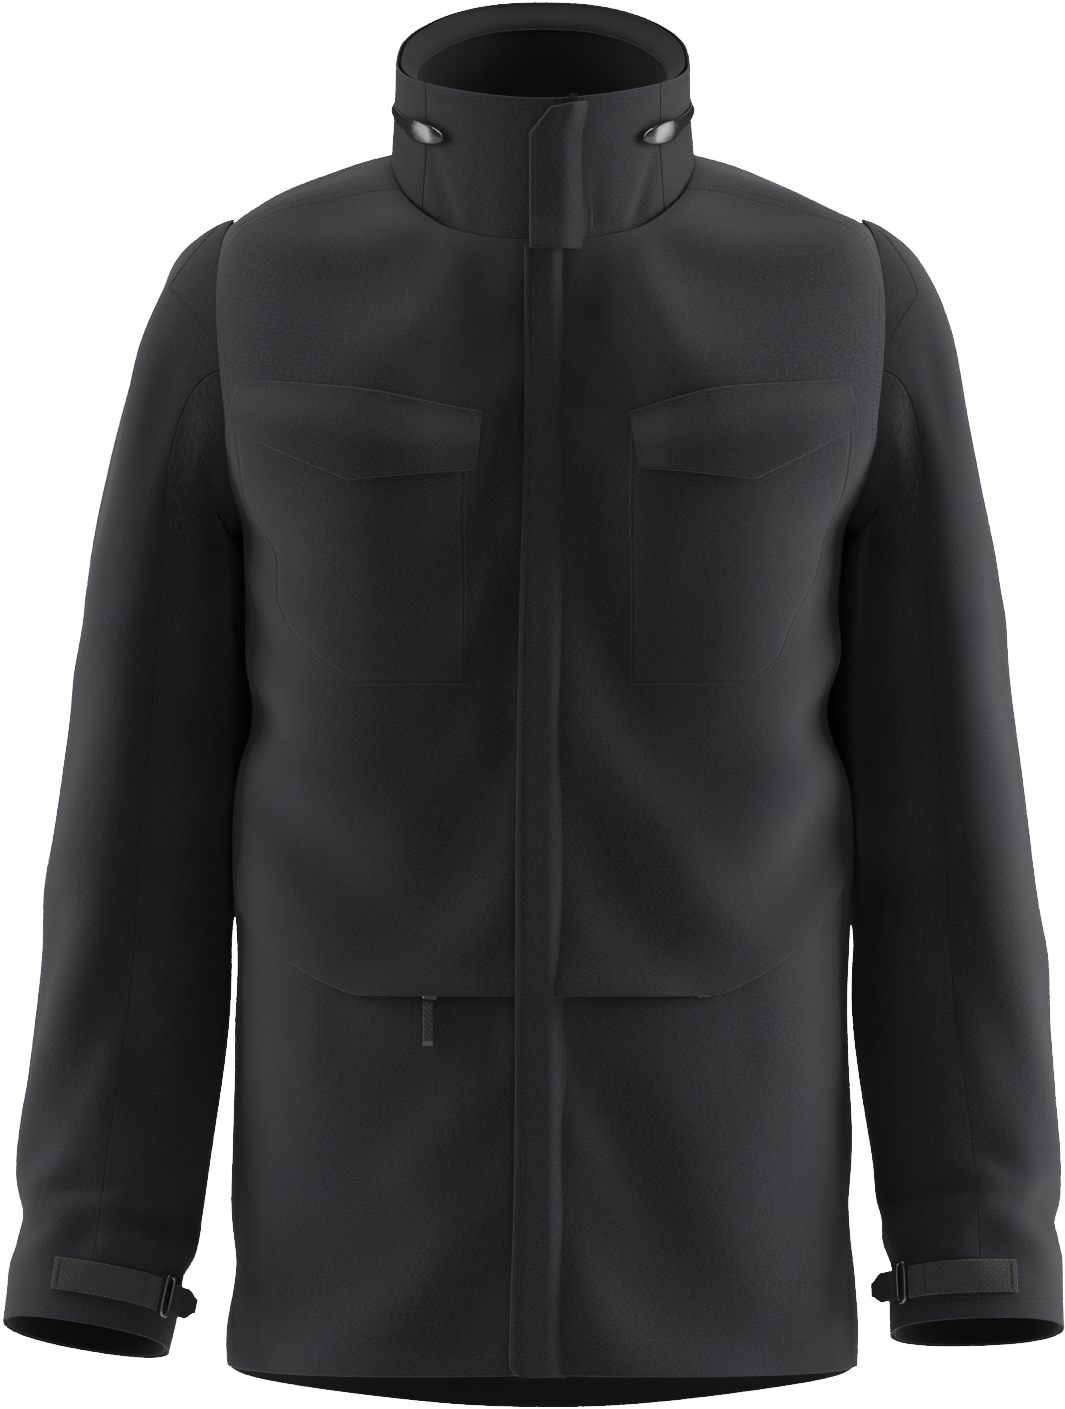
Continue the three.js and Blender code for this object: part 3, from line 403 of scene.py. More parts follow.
weave.links.new(sum_a.outputs[0], sum_b.inputs[2])
sum_c = joined(
    weave, "ShaderNodeMath", [(0, sum_b.outputs[0]), (1, lint_spots.outputs[0])], operation="ADD",
    use_clamp=True
)
tint = joined(weave, "ShaderNodeMix", data_type="RGBA")
weave.links.new(sum_c.outputs[0], tint.inputs["Factor"])
weave.links.new(weave_in.outputs["Base"], tint.inputs[6])
weave.links.new(weave_in.outputs["Thread"], tint.inputs[7])
weave.links.new(tint.outputs[2], weave_out.inputs["Colour"])
tall = joined(weave, "ShaderNodeMath", [(0, slub.outputs[0]), (1, both.outputs[0])], operation="ADD")
weave.links.new(tall.outputs[0], weave_out.inputs["Height"])
rough = joined(weave, "ShaderNodeMapRange", [(0, slow.outputs[0])], _1=0.3, _2=0.7, _3=0.72, _4=0.88)
weave.links.new(rough.outputs[0], weave_out.inputs["Roughness"])


def woven(
    name, base, thread, pitch=0.0006, slub_level=0.5, wear=0.3, bump=0.5, depth=0.0003, sheen=0.12,
    sheen_rough=0.5, level=0.22
):
    """A cloth material: the woven group feeds colour, roughness and bump of one shader."""
    material = bpy.data.materials.new(name)
    material.use_nodes = True
    tree = material.node_tree
    shader = tree.nodes["Principled BSDF"]
    cloth = tree.nodes.new("ShaderNodeGroup")
    cloth.node_tree = weave
    cloth.inputs["Base"].default_value = (*base, 1)
    cloth.inputs["Thread"].default_value = (*thread, 1)
    cloth.inputs["Pitch"].default_value = pitch
    cloth.inputs["Slub"].default_value = slub_level
    cloth.inputs["Wear"].default_value = wear
    relief = joined(tree, "ShaderNodeBump", _0=bump, _1=depth)
    tree.links.new(cloth.outputs["Height"], relief.inputs["Height"])
    tree.links.new(relief.outputs[0], shader.inputs["Normal"])
    tree.links.new(cloth.outputs["Colour"], shader.inputs["Base Color"])
    tree.links.new(cloth.outputs["Roughness"], shader.inputs["Roughness"])
    shader.inputs["Sheen Weight"].default_value = sheen
    shader.inputs["Sheen Roughness"].default_value = sheen_rough
    shader.inputs["Specular IOR Level"].default_value = level
    return material


shell_cloth = woven(
    "shell_cloth", (0.0068, 0.0065, 0.0081), (0.032, 0.0307, 0.038), slub_level=0.72, wear=0.2
)
inside_cloth = woven("inside_cloth", (0.0045, 0.0039, 0.0039), (0.012, 0.0105, 0.0105), sheen=0.08, wear=0.2)
thread_cloth = woven(
    "thread", (0.014, 0.014, 0.016), (0.042, 0.042, 0.047), pitch=0.0004, slub_level=0.3, sheen=0.1
)


# ---------------------------------------------------------------- cutting and laying a panel
# Each panel is a thin closed sheet: an outer and an inner face meeting in a rounded, turned edge.


def marks(length, step, fine=(0.35, 0.8, 1.4, 2.0, 2.6, 3.2, 4.3)):
    """Places along a piece from 0 to 1, closer together beside its two edges."""
    ends = [d for d in fine if d < length / 3]
    last = ends[-1] if ends else 0.0
    count = max(1, int(round((length - 2 * last) / step)))
    middle = np.linspace(last, length - last, count + 1)
    places = np.concatenate([[0.0], ends[:-1], middle, [length - d for d in reversed(ends[:-1])], [length]])
    return np.unique(np.round(places, 4)) / length


def finished(name, mesh, flat):
    """Gives a mesh its cloth coordinates, in metres, and puts it in the scene."""
    loops = np.empty(len(mesh.loops), np.int32)
    mesh.loops.foreach_get("vertex_index", loops)
    mesh.uv_layers.new(name="cloth").data.foreach_set("uv", flat[loops].astype(np.float32).ravel())
    obj = bpy.data.objects.new(name, mesh)
    bpy.context.scene.collection.objects.link(obj)
    return obj


def panel_mesh(name, outer, inner, materials):
    """Closes two matching grids of points, in millimetres, into one sheet."""
    nu, nv = outer.shape[:2]
    index = np.arange(nu * nv).reshape(nu, nv)
    under = index + nu * nv

    def quads(a):
        return np.stack([a[:-1, :-1], a[1:, :-1], a[1:, 1:], a[:-1, 1:]], -1).reshape(-1, 4)

    faces = [quads(index), quads(under)[:, ::-1]]
    kinds = [np.zeros(len(faces[0])), np.ones(len(faces[1]))]
    rim = np.concatenate([index[:, 0], index[-1, 1:], index[-2::-1, -1], index[0, -2:0:-1]])
    low = rim + nu * nv
    around_rim = np.stack([rim, low, np.roll(low, -1), np.roll(rim, -1)], -1)
    faces.append(around_rim)
    kinds.append(np.zeros(len(around_rim)))
    points = to_frame(np.concatenate([outer.reshape(-1, 3), inner.reshape(-1, 3)]))
    all_faces = np.concatenate(faces)
    a, b, c, d = (points[all_faces[:, k]] for k in range(4))
    from_middle = a - points.mean(0)
    volume = np.sum((np.cross(b - a, c - a) + np.cross(c - a, d - a)) * from_middle)
    if volume < 0:
        all_faces = all_faces[:, ::-1]
    mesh = bpy.data.meshes.new(name)
    mesh.from_pydata(points.tolist(), [], all_faces.tolist())
    for m in materials:
        mesh.materials.append(m)
    slots = np.concatenate(kinds).astype(np.int32).clip(0, len(materials) - 1)
    mesh.polygons.foreach_set("material_index", slots)
    mesh.polygons.foreach_set("use_smooth", np.ones(len(all_faces), bool))
    s = np.cumsum(np.pad(np.linalg.norm(np.diff(outer[:, nv // 2], axis=0), axis=-1), (1, 0)))
    t = np.cumsum(np.pad(np.linalg.norm(np.diff(outer[nu // 2], axis=0), axis=-1), (1, 0)))
    spread = np.stack(np.meshgrid(s, t, indexing="ij"), -1).reshape(-1, 2) / 1000
    return finished(name, mesh, np.concatenate([spread, spread]))


def edge_distance(s, t, across, tall):
    d = np.minimum(np.minimum(s, 1 - s) * across, np.minimum(t, 1 - t) * tall)
    return d


def cloth_panel(name, place, across, tall, step=6.0, lift=0.0, thick=1.6, roll=0.9, materials=None, sink=0.0):
    """place(s, t) gives points and normals; lift is where the sheet's middle lies."""
    s, t = np.meshgrid(marks(across, step), marks(tall, step), indexing="ij")
    p, n = place(s, t)
    d = np.clip(edge_distance(s, t, across, tall) / roll, 0, 1)
    half = thick / 2 * (0.12 + 0.88 * np.sqrt(1 - (1 - d) ** 2))
    middle = (lift(s, t) if callable(lift) else lift) - sink * (1 - ease(d * roll, 0, roll))
    outer = p + n * (middle + half)[..., None]
    inner = p + n * (middle - half)[..., None]
    obj = panel_mesh(name, outer, inner, materials or [shell_cloth, inside_cloth])
    mid = p + n * (middle + 0 * s)[..., None]
    da = np.linalg.norm(np.cross(mid[1:, :-1] - mid[:-1, :-1], mid[:-1, 1:] - mid[:-1, :-1]), axis=-1)
    obj["cut_area"] = float(da.sum() / 1e6)
    return obj


def cut_sheet(obj):
    del obj["cut_area"]


def sewn_to(obj, body, slot_name, *nodes):
    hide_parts(*nodes)
    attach(obj, body)
    return obj


def stitching(name, paths, body, pitch=3.0, length=2.0, width=0.42, height=0.16, blend=None, material=None):
    """Rows of lockstitch: each path is points and normals in millimetres, already on the cloth."""
    vertices, faces, total = [], [], 0
    for points, up in paths:
        step = np.linalg.norm(np.diff(points, axis=0), axis=-1)
        run = np.concatenate([[0], np.cumsum(step)])
        starts = np.arange(0.6, run[-1] - length, pitch)
        if len(starts) == 0:
            continue
        rows = []
        for share in (0.0, 0.2, 0.8, 1.0):
            at = starts + share * length
            q = np.stack([np.interp(at, run, points[:, k]) for k in range(3)], -1)
            m = np.stack([np.interp(at, run, up[:, k]) for k in range(3)], -1)
            rows.append((q, m / np.linalg.norm(m, axis=-1, keepdims=True)))
        along = rows[3][0] - rows[0][0]
        along /= np.linalg.norm(along, axis=-1, keepdims=True) + 1e-9
        side = np.cross(along, rows[1][1])
        block = [rows[0][0] - rows[0][1] * 0.15]
        for q, m in rows[1:3]:
            block += [q - side * width / 2, q + m * height, q + side * width / 2]
        block.append(rows[3][0] - rows[3][1] * 0.15)
        grid = np.stack(block, 1)
        local = [
            (0, 2, 1), (0, 3, 2), (1, 2, 5, 4), (2, 3, 6, 5), (4, 5, 7), (5, 6, 7), (0, 1, 4, 7),
            (0, 7, 6, 3)
        ]
        for k in range(len(starts)):
            faces += [tuple(total + k * 8 + i for i in f) for f in local]
        vertices.append(grid.reshape(-1, 3))
        total += 8 * len(starts)
    mesh = bpy.data.meshes.new(name)
    mesh.from_pydata(to_frame(np.concatenate(vertices)).tolist(), [], faces)
    mesh.materials.append(material or thread_cloth)
    mesh.polygons.foreach_set("use_smooth", np.ones(len(mesh.polygons), bool))
    obj = finished(name, mesh, np.concatenate(vertices)[:, [0, 2]] / 1000)
    if blend:
        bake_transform(obj)
    else:
        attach(obj, body)
    return obj


# How far a row of stitches lies above the middle of the cloth, on each part of the jacket.
ON_BODY, ON_SLEEVE, ON_COLLAR, ON_POCKET, ON_FLAP = 0.82, 0.8, 0.85, 1.45, 0.86


def raised(place, lift):
    """Moves points off the cloth along its normals, for a row of stitches that lies on it."""
    p, n = place
    return p + n * np.broadcast_to(lift, p.shape[:-1])[..., None], n


def seam_path(theta, v):
    return raised(on_torso(theta, v), ON_BODY)


# ---------------------------------------------------------------- front panels
# The two upper front pieces run from the collar and the yoke down to the waist seam, where their
# turned lower edge stands over the skirt and hides the mouths of the waist pockets.
ZIP_GAP = 6.5
UNDERARM = ARMHOLE_V - ARMHOLE_TALL * math.sqrt(1 - ((SIDE_SEAM - 90) / ARMHOLE_ACROSS) ** 2)
YOKE_V = ARMHOLE_V + ARMHOLE_TALL * math.sqrt(1 - (16 / ARMHOLE_ACROSS) ** 2)


def armhole_reach(v):
    return ARMHOLE_ACROSS * np.sqrt(np.clip(1 - ((v - ARMHOLE_V) / ARMHOLE_TALL) ** 2, 0, None))


def front_edge(v):
    upper = mix(74, 70, (v - YOKE_V) / (NECK - YOKE_V))
    low = np.where(v <= YOKE_V, 90 - armhole_reach(v), upper)
    return np.where(v <= UNDERARM, SIDE_SEAM, low)


def theta_at(x, v):
    """The angle at which the front stands x out from the centre, at a height."""
    x, v = np.broadcast_arrays(np.asarray(x, float), np.asarray(v, float))
    low, high = np.full(x.shape, -89.5), np.full(x.shape, 89.5)
    for _ in range(30):
        middle = (low + high) / 2
        less = torso_form(middle, v)[..., 0] < x
        low, high = np.where(less, middle, low), np.where(less, high, middle)
    return (low + high) / 2


def hem_line(theta):
    theta = np.where(theta > 180, theta - 360, theta)
    past = np.clip(np.abs(theta) - 90, 0, 90)
    front = mix(41, 37, np.clip(np.abs(theta) / 90, 0, 1))
    back = 37 * (1 - np.sin(np.radians(past))) ** 1.3
    return np.where(np.abs(theta) <= 90, front, back)


heights = np.linspace(0, NECK, 83)
zip_edge = {side: np.abs(theta_at(side * ZIP_GAP, heights)) for side in (-1, 1)}


def zip_side(side, v):
    return np.interp(v, heights, zip_edge[side])


for hand, side in (("right", -1), ("left", 1)):
    def upper_front(s, t, side=side):
        start = waist_seam(side * mix(3.0, SIDE_SEAM, s)) - 2.5
        v = mix(start, NECK, t)
        theta = side * mix(zip_side(side, v), front_edge(v) - 0.04, s)
        return on_torso(theta, v)

    def stand_off(s, t, side=side):
        foot = 1 - ease(t, 0.0, 0.07)
        gape = np.exp(-(((s * 250 - (100 if side < 0 else 62)) / (62 if side < 0 else 44)) ** 4))
        return foot * (3.0 + 5.8 * gape * (1 - ease(t, 0, 0.05)))

    piece = cloth_panel("front_panel_" + hand, upper_front, 250, 545, 5.5, stand_off)
    sewn_to(piece, "jacket", "shell_cloth", "front_panel_" + hand)
    cut_sheet(piece)

    # Lower front, from the waist seam down to the turned hem.
    def lower_front(s, t, side=side):
        theta = side * mix(zip_side(side, 200.0), SIDE_SEAM - 0.04, s)
        return on_torso(theta, mix(hem_line(theta), waist_seam(theta) + 6, t))

    def tucked(s, t):
        return -2.4 * ease(t, 0.93, 1) * (1 - ease(s, 0.6, 0.9))

    piece = cloth_panel("skirt_panel_" + hand, lower_front, 250, 235, 5.5, tucked)
    sewn_to(piece, "jacket", "shell_cloth", "skirt_panel_" + hand)
    cut_sheet(piece)

    # Side strip under the arm, between the front and the back.
    def side_strip(s, t, side=side):
        theta = side * mix(SIDE_SEAM - 0.2, 180 - SIDE_SEAM + 0.2, s)
        top = ARMHOLE_V - ARMHOLE_TALL * np.sqrt(1 - ((np.abs(theta) - 90) / ARMHOLE_ACROSS) ** 2)
        return on_torso(theta, mix(hem_line(theta), top, t))

    piece = cloth_panel("side_panel_" + hand, side_strip, 70, 540, 6)
    sewn_to(piece, "jacket", "shell_cloth", "side_panel_" + hand)
    cut_sheet(piece)

# ---------------------------------------------------------------- back panel and yoke
# One wide back piece ends at a seam below the shoulders; the yoke is cut in one over both
# shoulders and comes forward to the front yoke seams.


def back_edge(v):
    return 180 - np.where(v <= UNDERARM, SIDE_SEAM, 90 - armhole_reach(v))


def whole_back(s, t):
    v = mix(hem_line(mix(100, 260, s)), YOKE_V + 0.3, t)
    return on_torso(mix(back_edge(v), 360 - back_edge(v), s), v)


back = cloth_panel("back_panel", whole_back, 400, 690, 6.5)
sewn_to(back, "jacket", "shell_cloth", "back_panel")
cut_sheet(back)


def yoke_place(s, t):
    base = mix(74.0, 286.0, s)
    off = np.abs(np.minimum(base, 360 - base) - 90)
    over_armhole = ARMHOLE_V + ARMHOLE_TALL * np.sqrt(np.clip(1 - (off / ARMHOLE_ACROSS) ** 2, 0, 1))
    low = np.where(off < 16, over_armhole, YOKE_V)
    v = mix(low, NECK, t)
    lean = (front_edge(v) - 74) * (1 - ease(np.minimum(s, 1 - s), 0, 0.1))
    return on_torso(base + np.where(s < 0.5, lean - 0.2, 0.2 - lean), v)


yoke = cloth_panel("shoulder_yoke", yoke_place, 600, 150, 6)
sewn_to(yoke, "jacket", "shell_cloth", "shoulder_yoke")
cut_sheet(yoke)

# Topstitching beside the seams of the trunk.
rows = []
for side in (-1, 1):
    v = np.linspace(YOKE_V + 1, NECK - 3, 60)
    for off in (0.9, 2.6):
        rows.append(seam_path(side * (front_edge(v) + off), v))
    v = np.linspace(UNDERARM - 2, YOKE_V, 80)
    for off in (2.2, 4.6):
        rows.append(seam_path(side * (front_edge(v) - off * 0.45), v))
        rows.append(seam_path(side * (180 - front_edge(v) + off * 0.45), v))
    v = np.linspace(45, UNDERARM - 4, 120)
    for off in (0.9, 2.0):
        rows.append(seam_path(side * (SIDE_SEAM - off), v))
        rows.append(seam_path(side * (180 - SIDE_SEAM + off), v))
    theta = side * np.linspace(3.2, SIDE_SEAM - 1, 120)
    rows.append(seam_path(theta, hem_line(theta) + 22))
theta = np.linspace(101, 259, 160)
rows.append(seam_path(theta, hem_line(np.where(theta > 180, theta - 360, theta)) + 22))
theta = np.linspace(106, 254, 160)
rows.append(seam_path(theta, YOKE_V + 3 + 0 * theta))
stitching("trunk_stitching", rows, "jacket")

# ---------------------------------------------------------------- sleeves
# Each sleeve is cut in two, an outer and an inner half, joined by seams down its front and back,
# and set into the armhole over a rounded cap. Rings: height, distance out, half width, depth, half depth.
ARM_RINGS = {
    -1: [
        (540, 233, 44.5, 14, 72),
        (461, 239, 50, 16, 68),
        (362, 247.5, 54.5, 16, 62),
        (263, 253.3, 58.5, 8, 57),
        (164, 265.7, 56, -14, 53),
        (114, 271.5, 53.5, -27, 51),
        (57, 281, 50.5, -42, 49),
    ],
    1: [
        (540, 234, 44.5, 14, 72),
        (461, 239, 50, 16, 68),
        (362, 247, 54.5, 16, 62),
        (263, 251.6, 59.6, 8, 57),
        (164, 262.2, 55.2, -14, 53),
        (114, 265.5, 52.8, -27, 51),
        (60, 267, 53, -41, 49),
    ],
}
CAP_END = 0.28


def arm_at(side, t):
    """The sleeve's ring at a share of the way from the bicep to the cuff."""
    rings = np.array(ARM_RINGS[side], float)
    padded = np.vstack([2 * rings[0] - rings[1], rings, 2 * rings[-1] - rings[-2]])
    at = np.clip(np.asarray(t, float), 0, 1) * (len(rings) - 1)
    i = np.minimum(at.astype(int), len(rings) - 2)
    w = (at - i)[..., None]
    a, b, c, d = (padded[i + k] for k in range(4))
    ta, tb = (c - a) / 2, (d - b) / 2
    return b + ta * w + (3 * c - 3 * b - 2 * ta - tb) * w**2 + (2 * b - 2 * c + ta + tb) * w**3


def arm_ring(side, phi, t):
    height, out, wide, deep, thick = np.moveaxis(arm_at(side, t), -1, 0)
    lower, upper = arm_at(side, np.minimum(t + 0.01, 1)), arm_at(side, np.maximum(t - 0.01, 0))
    run = upper[..., 0] - lower[..., 0]
    c, s = np.cos(np.radians(phi)), np.sin(np.radians(phi))
    r = (np.abs(c) ** 2.35 + np.abs(s) ** 2.35) ** (-1 / 2.35)
    lean_out = wide * r * c * (lower[..., 1] - upper[..., 1]) / run
    lean_back = thick * r * s * (lower[..., 3] - upper[..., 3]) / run
    z = height + ease(t, 0, 0.2) * (lean_out - lean_back)
    return np.stack([side * (out + wide * r * c), deep - thick * r * s, z], -1)


def sleeve_form(side, phi, w):
    phi, w = np.broadcast_arrays(np.asarray(phi, float), np.asarray(w, float))
    lower = arm_ring(side, phi, np.clip((w - CAP_END) / (1 - CAP_END), 0, 1))
    c, s = np.cos(np.radians(phi)), np.sin(np.radians(phi))
    level = ARMHOLE_V + (ARMHOLE_TALL + 0.2) * c
    theta = 90 - (ARMHOLE_ACROSS + 0.1) * s
    start = torso_form(side * theta, level)
    start[..., 2] += 2.5 * np.maximum(0, c) ** 2
    end = arm_ring(side, phi, 0 * w)
    outer, inner = np.maximum(0, c), np.maximum(0, -c)
    reach = side * (14 + 28 * outer**0.7 + 8 * np.abs(s))
    leave = start + np.stack([reach, 2 * s, -4 - 2 * outer - 22 * inner], -1)
    arrive = end + np.stack([-side * 21 * outer, -2 * s, mix(18, 104, (c + 1) / 2)], -1)
    t = np.clip(w / CAP_END, 0, 1)[..., None]
    cap = start * (1 - t) ** 3 + 3 * leave * t * (1 - t) ** 2 + 3 * arrive * t * t * (1 - t) + end * t**3
    return np.where((w >= CAP_END)[..., None], lower, cap)


def sleeve_centre(side):
    def centre(p):
        t = np.clip((540 - p[..., 2]) / 480, 0, 1)
        ring = arm_at(side, t)
        low = np.stack([side * ring[..., 1], ring[..., 3], p[..., 2]], -1)
        return np.where(p[..., 2:3] > 560, np.array([side * 190.0, 5.0, 600.0]), low)

    return centre


# Long soft folds: two across the elbow's inner side, some breaks down the forearm, short drag
# lines from the underarm, all settled as hanging cloth like the trunk.
SLEEVE_FOLDS = {
    -1: [
        ((40, 0.36), (150, 0.30), 3.0, 0.020),
        ((20, 0.44), (150, 0.40), -3.0, 0.024),
        ((60, 0.49), (170, 0.46), 2.5, 0.020),
        ((-30, 0.58), (80, 0.52), 2.2, 0.026),
        ((30, 0.70), (140, 0.64), -2.0, 0.028),
        ((60, 0.78), (170, 0.75), 2.5, 0.022),
        ((100, 0.86), (175, 0.84), -2.0, 0.020),
        ((200, 0.50), (300, 0.47), 3.5, 0.024),
        ((210, 0.56), (320, 0.55), -3.0, 0.024),
        ((190, 0.40), (280, 0.34), 2.5, 0.02),
        ((215, 0.68), (300, 0.72), 2.5, 0.026),
    ],
    1: [
        ((50, 0.35), (160, 0.29), 3.2, 0.020),
        ((10, 0.42), (140, 0.39), -2.6, 0.024),
        ((50, 0.52), (160, 0.48), 3.0, 0.022),
        ((70, 0.56), (170, 0.54), -2.5, 0.020),
        ((-20, 0.63), (90, 0.58), 2.0, 0.026),
        ((60, 0.73), (160, 0.70), 2.5, 0.024),
        ((90, 0.82), (170, 0.79), -2.0, 0.020),
        ((200, 0.48), (300, 0.46), 3.5, 0.024),
        ((215, 0.55), (310, 0.53), -3.0, 0.024),
        ((190, 0.38), (280, 0.33), 2.5, 0.02),
        ((210, 0.70), (300, 0.73), 2.5, 0.026),
    ],
}
sleeve_waves = {}
for side in (-1, 1):
    phi = np.linspace(0, 360, 73)[:-1]
    w = np.linspace(0, 1, 91)
    grid_phi, grid_w = np.meshgrid(phi, w, indexing="ij")

    def form(a, b, side=side):
        return sleeve_form(side, a, np.clip(b, 0, 1))

    base, out = normals_of(form, grid_phi, grid_w, 1.0, 0.004, sleeve_centre(side))
    wave = 0.5 * smooth_noise(np.cos(np.radians(grid_phi)) * 3, grid_w * 12, 20 + side, 1.6)
    for (p0, w0), (p1, w1), height, width in SLEEVE_FOLDS[side]:
        d = np.array([(p1 - p0) / 360, w1 - w0])
        near = np.array([(grid_phi - p0) / 360, grid_w - w0])
        along = (near[0] * d[0] + near[1] * d[1]) / (d @ d)
        held = np.clip(along, 0, 1)
        reach = np.hypot((near[0] - held * d[0]) * 0.45, near[1] - held * d[1])
        taper = ease(along, -0.2, 0.3) * (1 - ease(along, 0.7, 1.2))
        wave += height * taper * np.exp(-((reach / width) ** 2) / 2)
    hold = np.full(grid_phi.shape, 0.05)
    hold[grid_w < 0.06] = 1
    hold[grid_w > 0.955] = 1
    seam = np.minimum(np.abs(grid_phi - 90), np.abs(grid_phi - 270))
    hold = np.maximum(hold, 0.3 * np.exp(-((seam / 3) ** 2)))
    pushed = base + out * (wave * 0.8 * (hold < 1))[..., None]
    settled = settle(pushed, hold, True, 0.012, 22, 0.35)
    moved = np.sum((settled - base) * out, -1)
    moved = blur(moved, 1, True) - blur(moved, 70, True)
    wave = 6 * np.tanh(moved / 6) + 0.5 * wave
    wave = wave * ease(grid_w, 0.02, 0.14) * (1 - ease(grid_w, 0.9, 0.965))
    wave = blur(wave, 1, True)
    # Air inside keeps the outer side rounded out.
    rounded = ease(grid_w, 0.03, 0.15) * (1 - ease(grid_w, 0.70, 0.82))
    wave += 6 * np.maximum(0, np.cos(np.radians(grid_phi))) * rounded
    # The inner back of each sleeve rests against the trunk, so it bellies inwards there.
    height = base[..., 2]
    belly = 14 + 7 * np.exp(-(((height - 445) / 45) ** 2))
    belly *= ease(height, 290, 360) * (1 - ease(height, 565, 600))
    wave += belly * np.exp(-(((grid_phi - 214) / 24) ** 2))
    sleeve_waves[side] = np.vstack([wave, wave[:1]])


def on_sleeve(side, phi, w):
    def form(a, b):
        return sleeve_form(side, a, np.clip(b, 0, 1))

    p, n = normals_of(form, phi, w, 0.5, 0.002, sleeve_centre(side))
    rise = lookup(sleeve_waves[side], np.mod(phi, 360) / 5.0, np.asarray(w) * 90)
    return p + n * rise[..., None], n


SHOULDER = {-1: to_frame([-199.0, 0, 606]), 1: to_frame([207.0, 0, 606])}


def shoulder_blend(side):
    hand = "right" if side < 0 else "left"
    end = SHOULDER[side] + np.array([side * 0.0435, 0, -0.0145])
    return "jacket", "sleeve_" + hand, tuple(SHOULDER[side]), tuple(end)


for hand, side in (("right", -1), ("left", 1)):
    for part, low_phi, high_phi in (("outer", -90.12, 90.12), ("inner", 89.88, 270.12)):

        def half(s, t, side=side, low_phi=low_phi, high_phi=high_phi):
            return on_sleeve(side, mix(low_phi, high_phi, s), mix(1.0, 0.0, t))

        name = "sleeve_%s_%s" % (part, hand)
        piece = cloth_panel(name, half, 175, 600, 5.0, 0.0, roll=0.05)
        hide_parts(name)
        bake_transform(piece)
        cut_sheet(piece)

    rows = []
    down = np.linspace(0.1, 0.985, 200)
    for at in (90, 270):
        for off in (-1.6, 1.6):
            rows.append(raised(on_sleeve(side, at + off + 0 * down, down), ON_SLEEVE))
    # A second seam leaves the front one below the elbow and runs towards the cuff's inner side.
    down = np.linspace(0.42, 0.985, 150)
    slant = 93 + 50 * ((down - 0.42) / 0.565) ** 1.1
    for off in (0.0, 2.2):
        rows.append(raised(on_sleeve(side, slant + off, down), ON_SLEEVE))
    turn = np.linspace(2, 358, 220)
    for level in (0.972, 0.9785):
        rows.append(raised(on_sleeve(side, turn, level + 0 * turn), ON_SLEEVE))
    stitching("sleeve_stitching_" + hand, rows, None, blend=shoulder_blend(side))
    # A small gusset is let in at the shoulder; its welted seam runs out over the cap and back.
    if side < 0:
        knots = np.array(
            [(20, 0.014), (33, 0.03), (40, 0.055), (44, 0.08), (53, 0.066), (64, 0.048), (80, 0.016)]
        ).T
    else:
        knots = np.array(
            [(26, 0.012), (38, 0.03), (47, 0.05), (53, 0.062), (59, 0.054), (68, 0.038), (79, 0.016)]
        ).T
    run = np.linspace(0, 1, 90)
    keys = np.linspace(0, 1, knots.shape[1])
    p, n = on_sleeve(side, np.interp(run, keys, knots[0]), np.interp(run, keys, knots[1]))
    stitching(
        "shoulder_welt_" + hand, [(p + n * 0.75, n)], None, 1.6, 1.58, 0.9, 0.4, blend=shoulder_blend(side)
    )

    # Facing turned inside the cuff, brushed lining cloth.
    def facing(s, t, side=side):
        return on_sleeve(side, mix(0.4, 359.6, s), mix(0.998, 0.90, t))

    piece = cloth_panel(
        "cuff_facing_" + hand, facing, 330, 52, 6, -2.1, 1.2, materials=[inside_cloth, inside_cloth]
    )
    sewn_to(piece, "sleeve_" + hand, "lining_cloth", "cuff_facing_" + hand)
    cut_sheet(piece)

# ---------------------------------------------------------------- cuff straps, buckles and tabs
# Coarse ribbed webbing is sewn across the front of each cuff and ends in a slim metal frame; a
# pointed tab of shell cloth passes through the frame and pulls the cuff in.
webbing = woven(
    "ribbed_webbing", (0.022, 0.02, 0.02), (0.07, 0.064, 0.062), pitch=0.0014, slub_level=0.3, bump=0.7,
    depth=0.0006, sheen=0.3, wear=0.2
)
tab_cloth = woven(
    "diagonal_twill", (0.02, 0.019, 0.02), (0.055, 0.052, 0.053), pitch=0.0009, slub_level=0.3, bump=0.4,
    depth=0.0003, wear=0.2
)
buckle_metal = bpy.data.materials.new("dark_metal")
buckle_metal.use_nodes = True
tree = buckle_metal.node_tree
grain = joined(tree, "ShaderNodeTexNoise", _2=900.0, _3=3.0)
grain_rough = joined(tree, "ShaderNodeMapRange", [(0, grain.outputs[0])], _1=0.3, _2=0.7, _3=0.22, _4=0.42)
grain_tint = joined(tree, "ShaderNodeMix", data_type="RGBA")
grain_tint.inputs[6].default_value = (0.10, 0.10, 0.105, 1)
grain_tint.inputs[7].default_value = (0.30, 0.30, 0.31, 1)
tree.links.new(grain.outputs[0], grain_tint.inputs["Factor"])
tree.links.new(grain_tint.outputs[2], tree.nodes["Principled BSDF"].inputs["Base Color"])
tree.links.new(grain_rough.outputs[0], tree.nodes["Principled BSDF"].inputs["Roughness"])
tree.nodes["Principled BSDF"].inputs["Metallic"].default_value = 1.0
STRAP_W, STRAP_HALF, STRAP_FROM, STRAP_TO = 0.945, 10.0, 66.0, 138.0


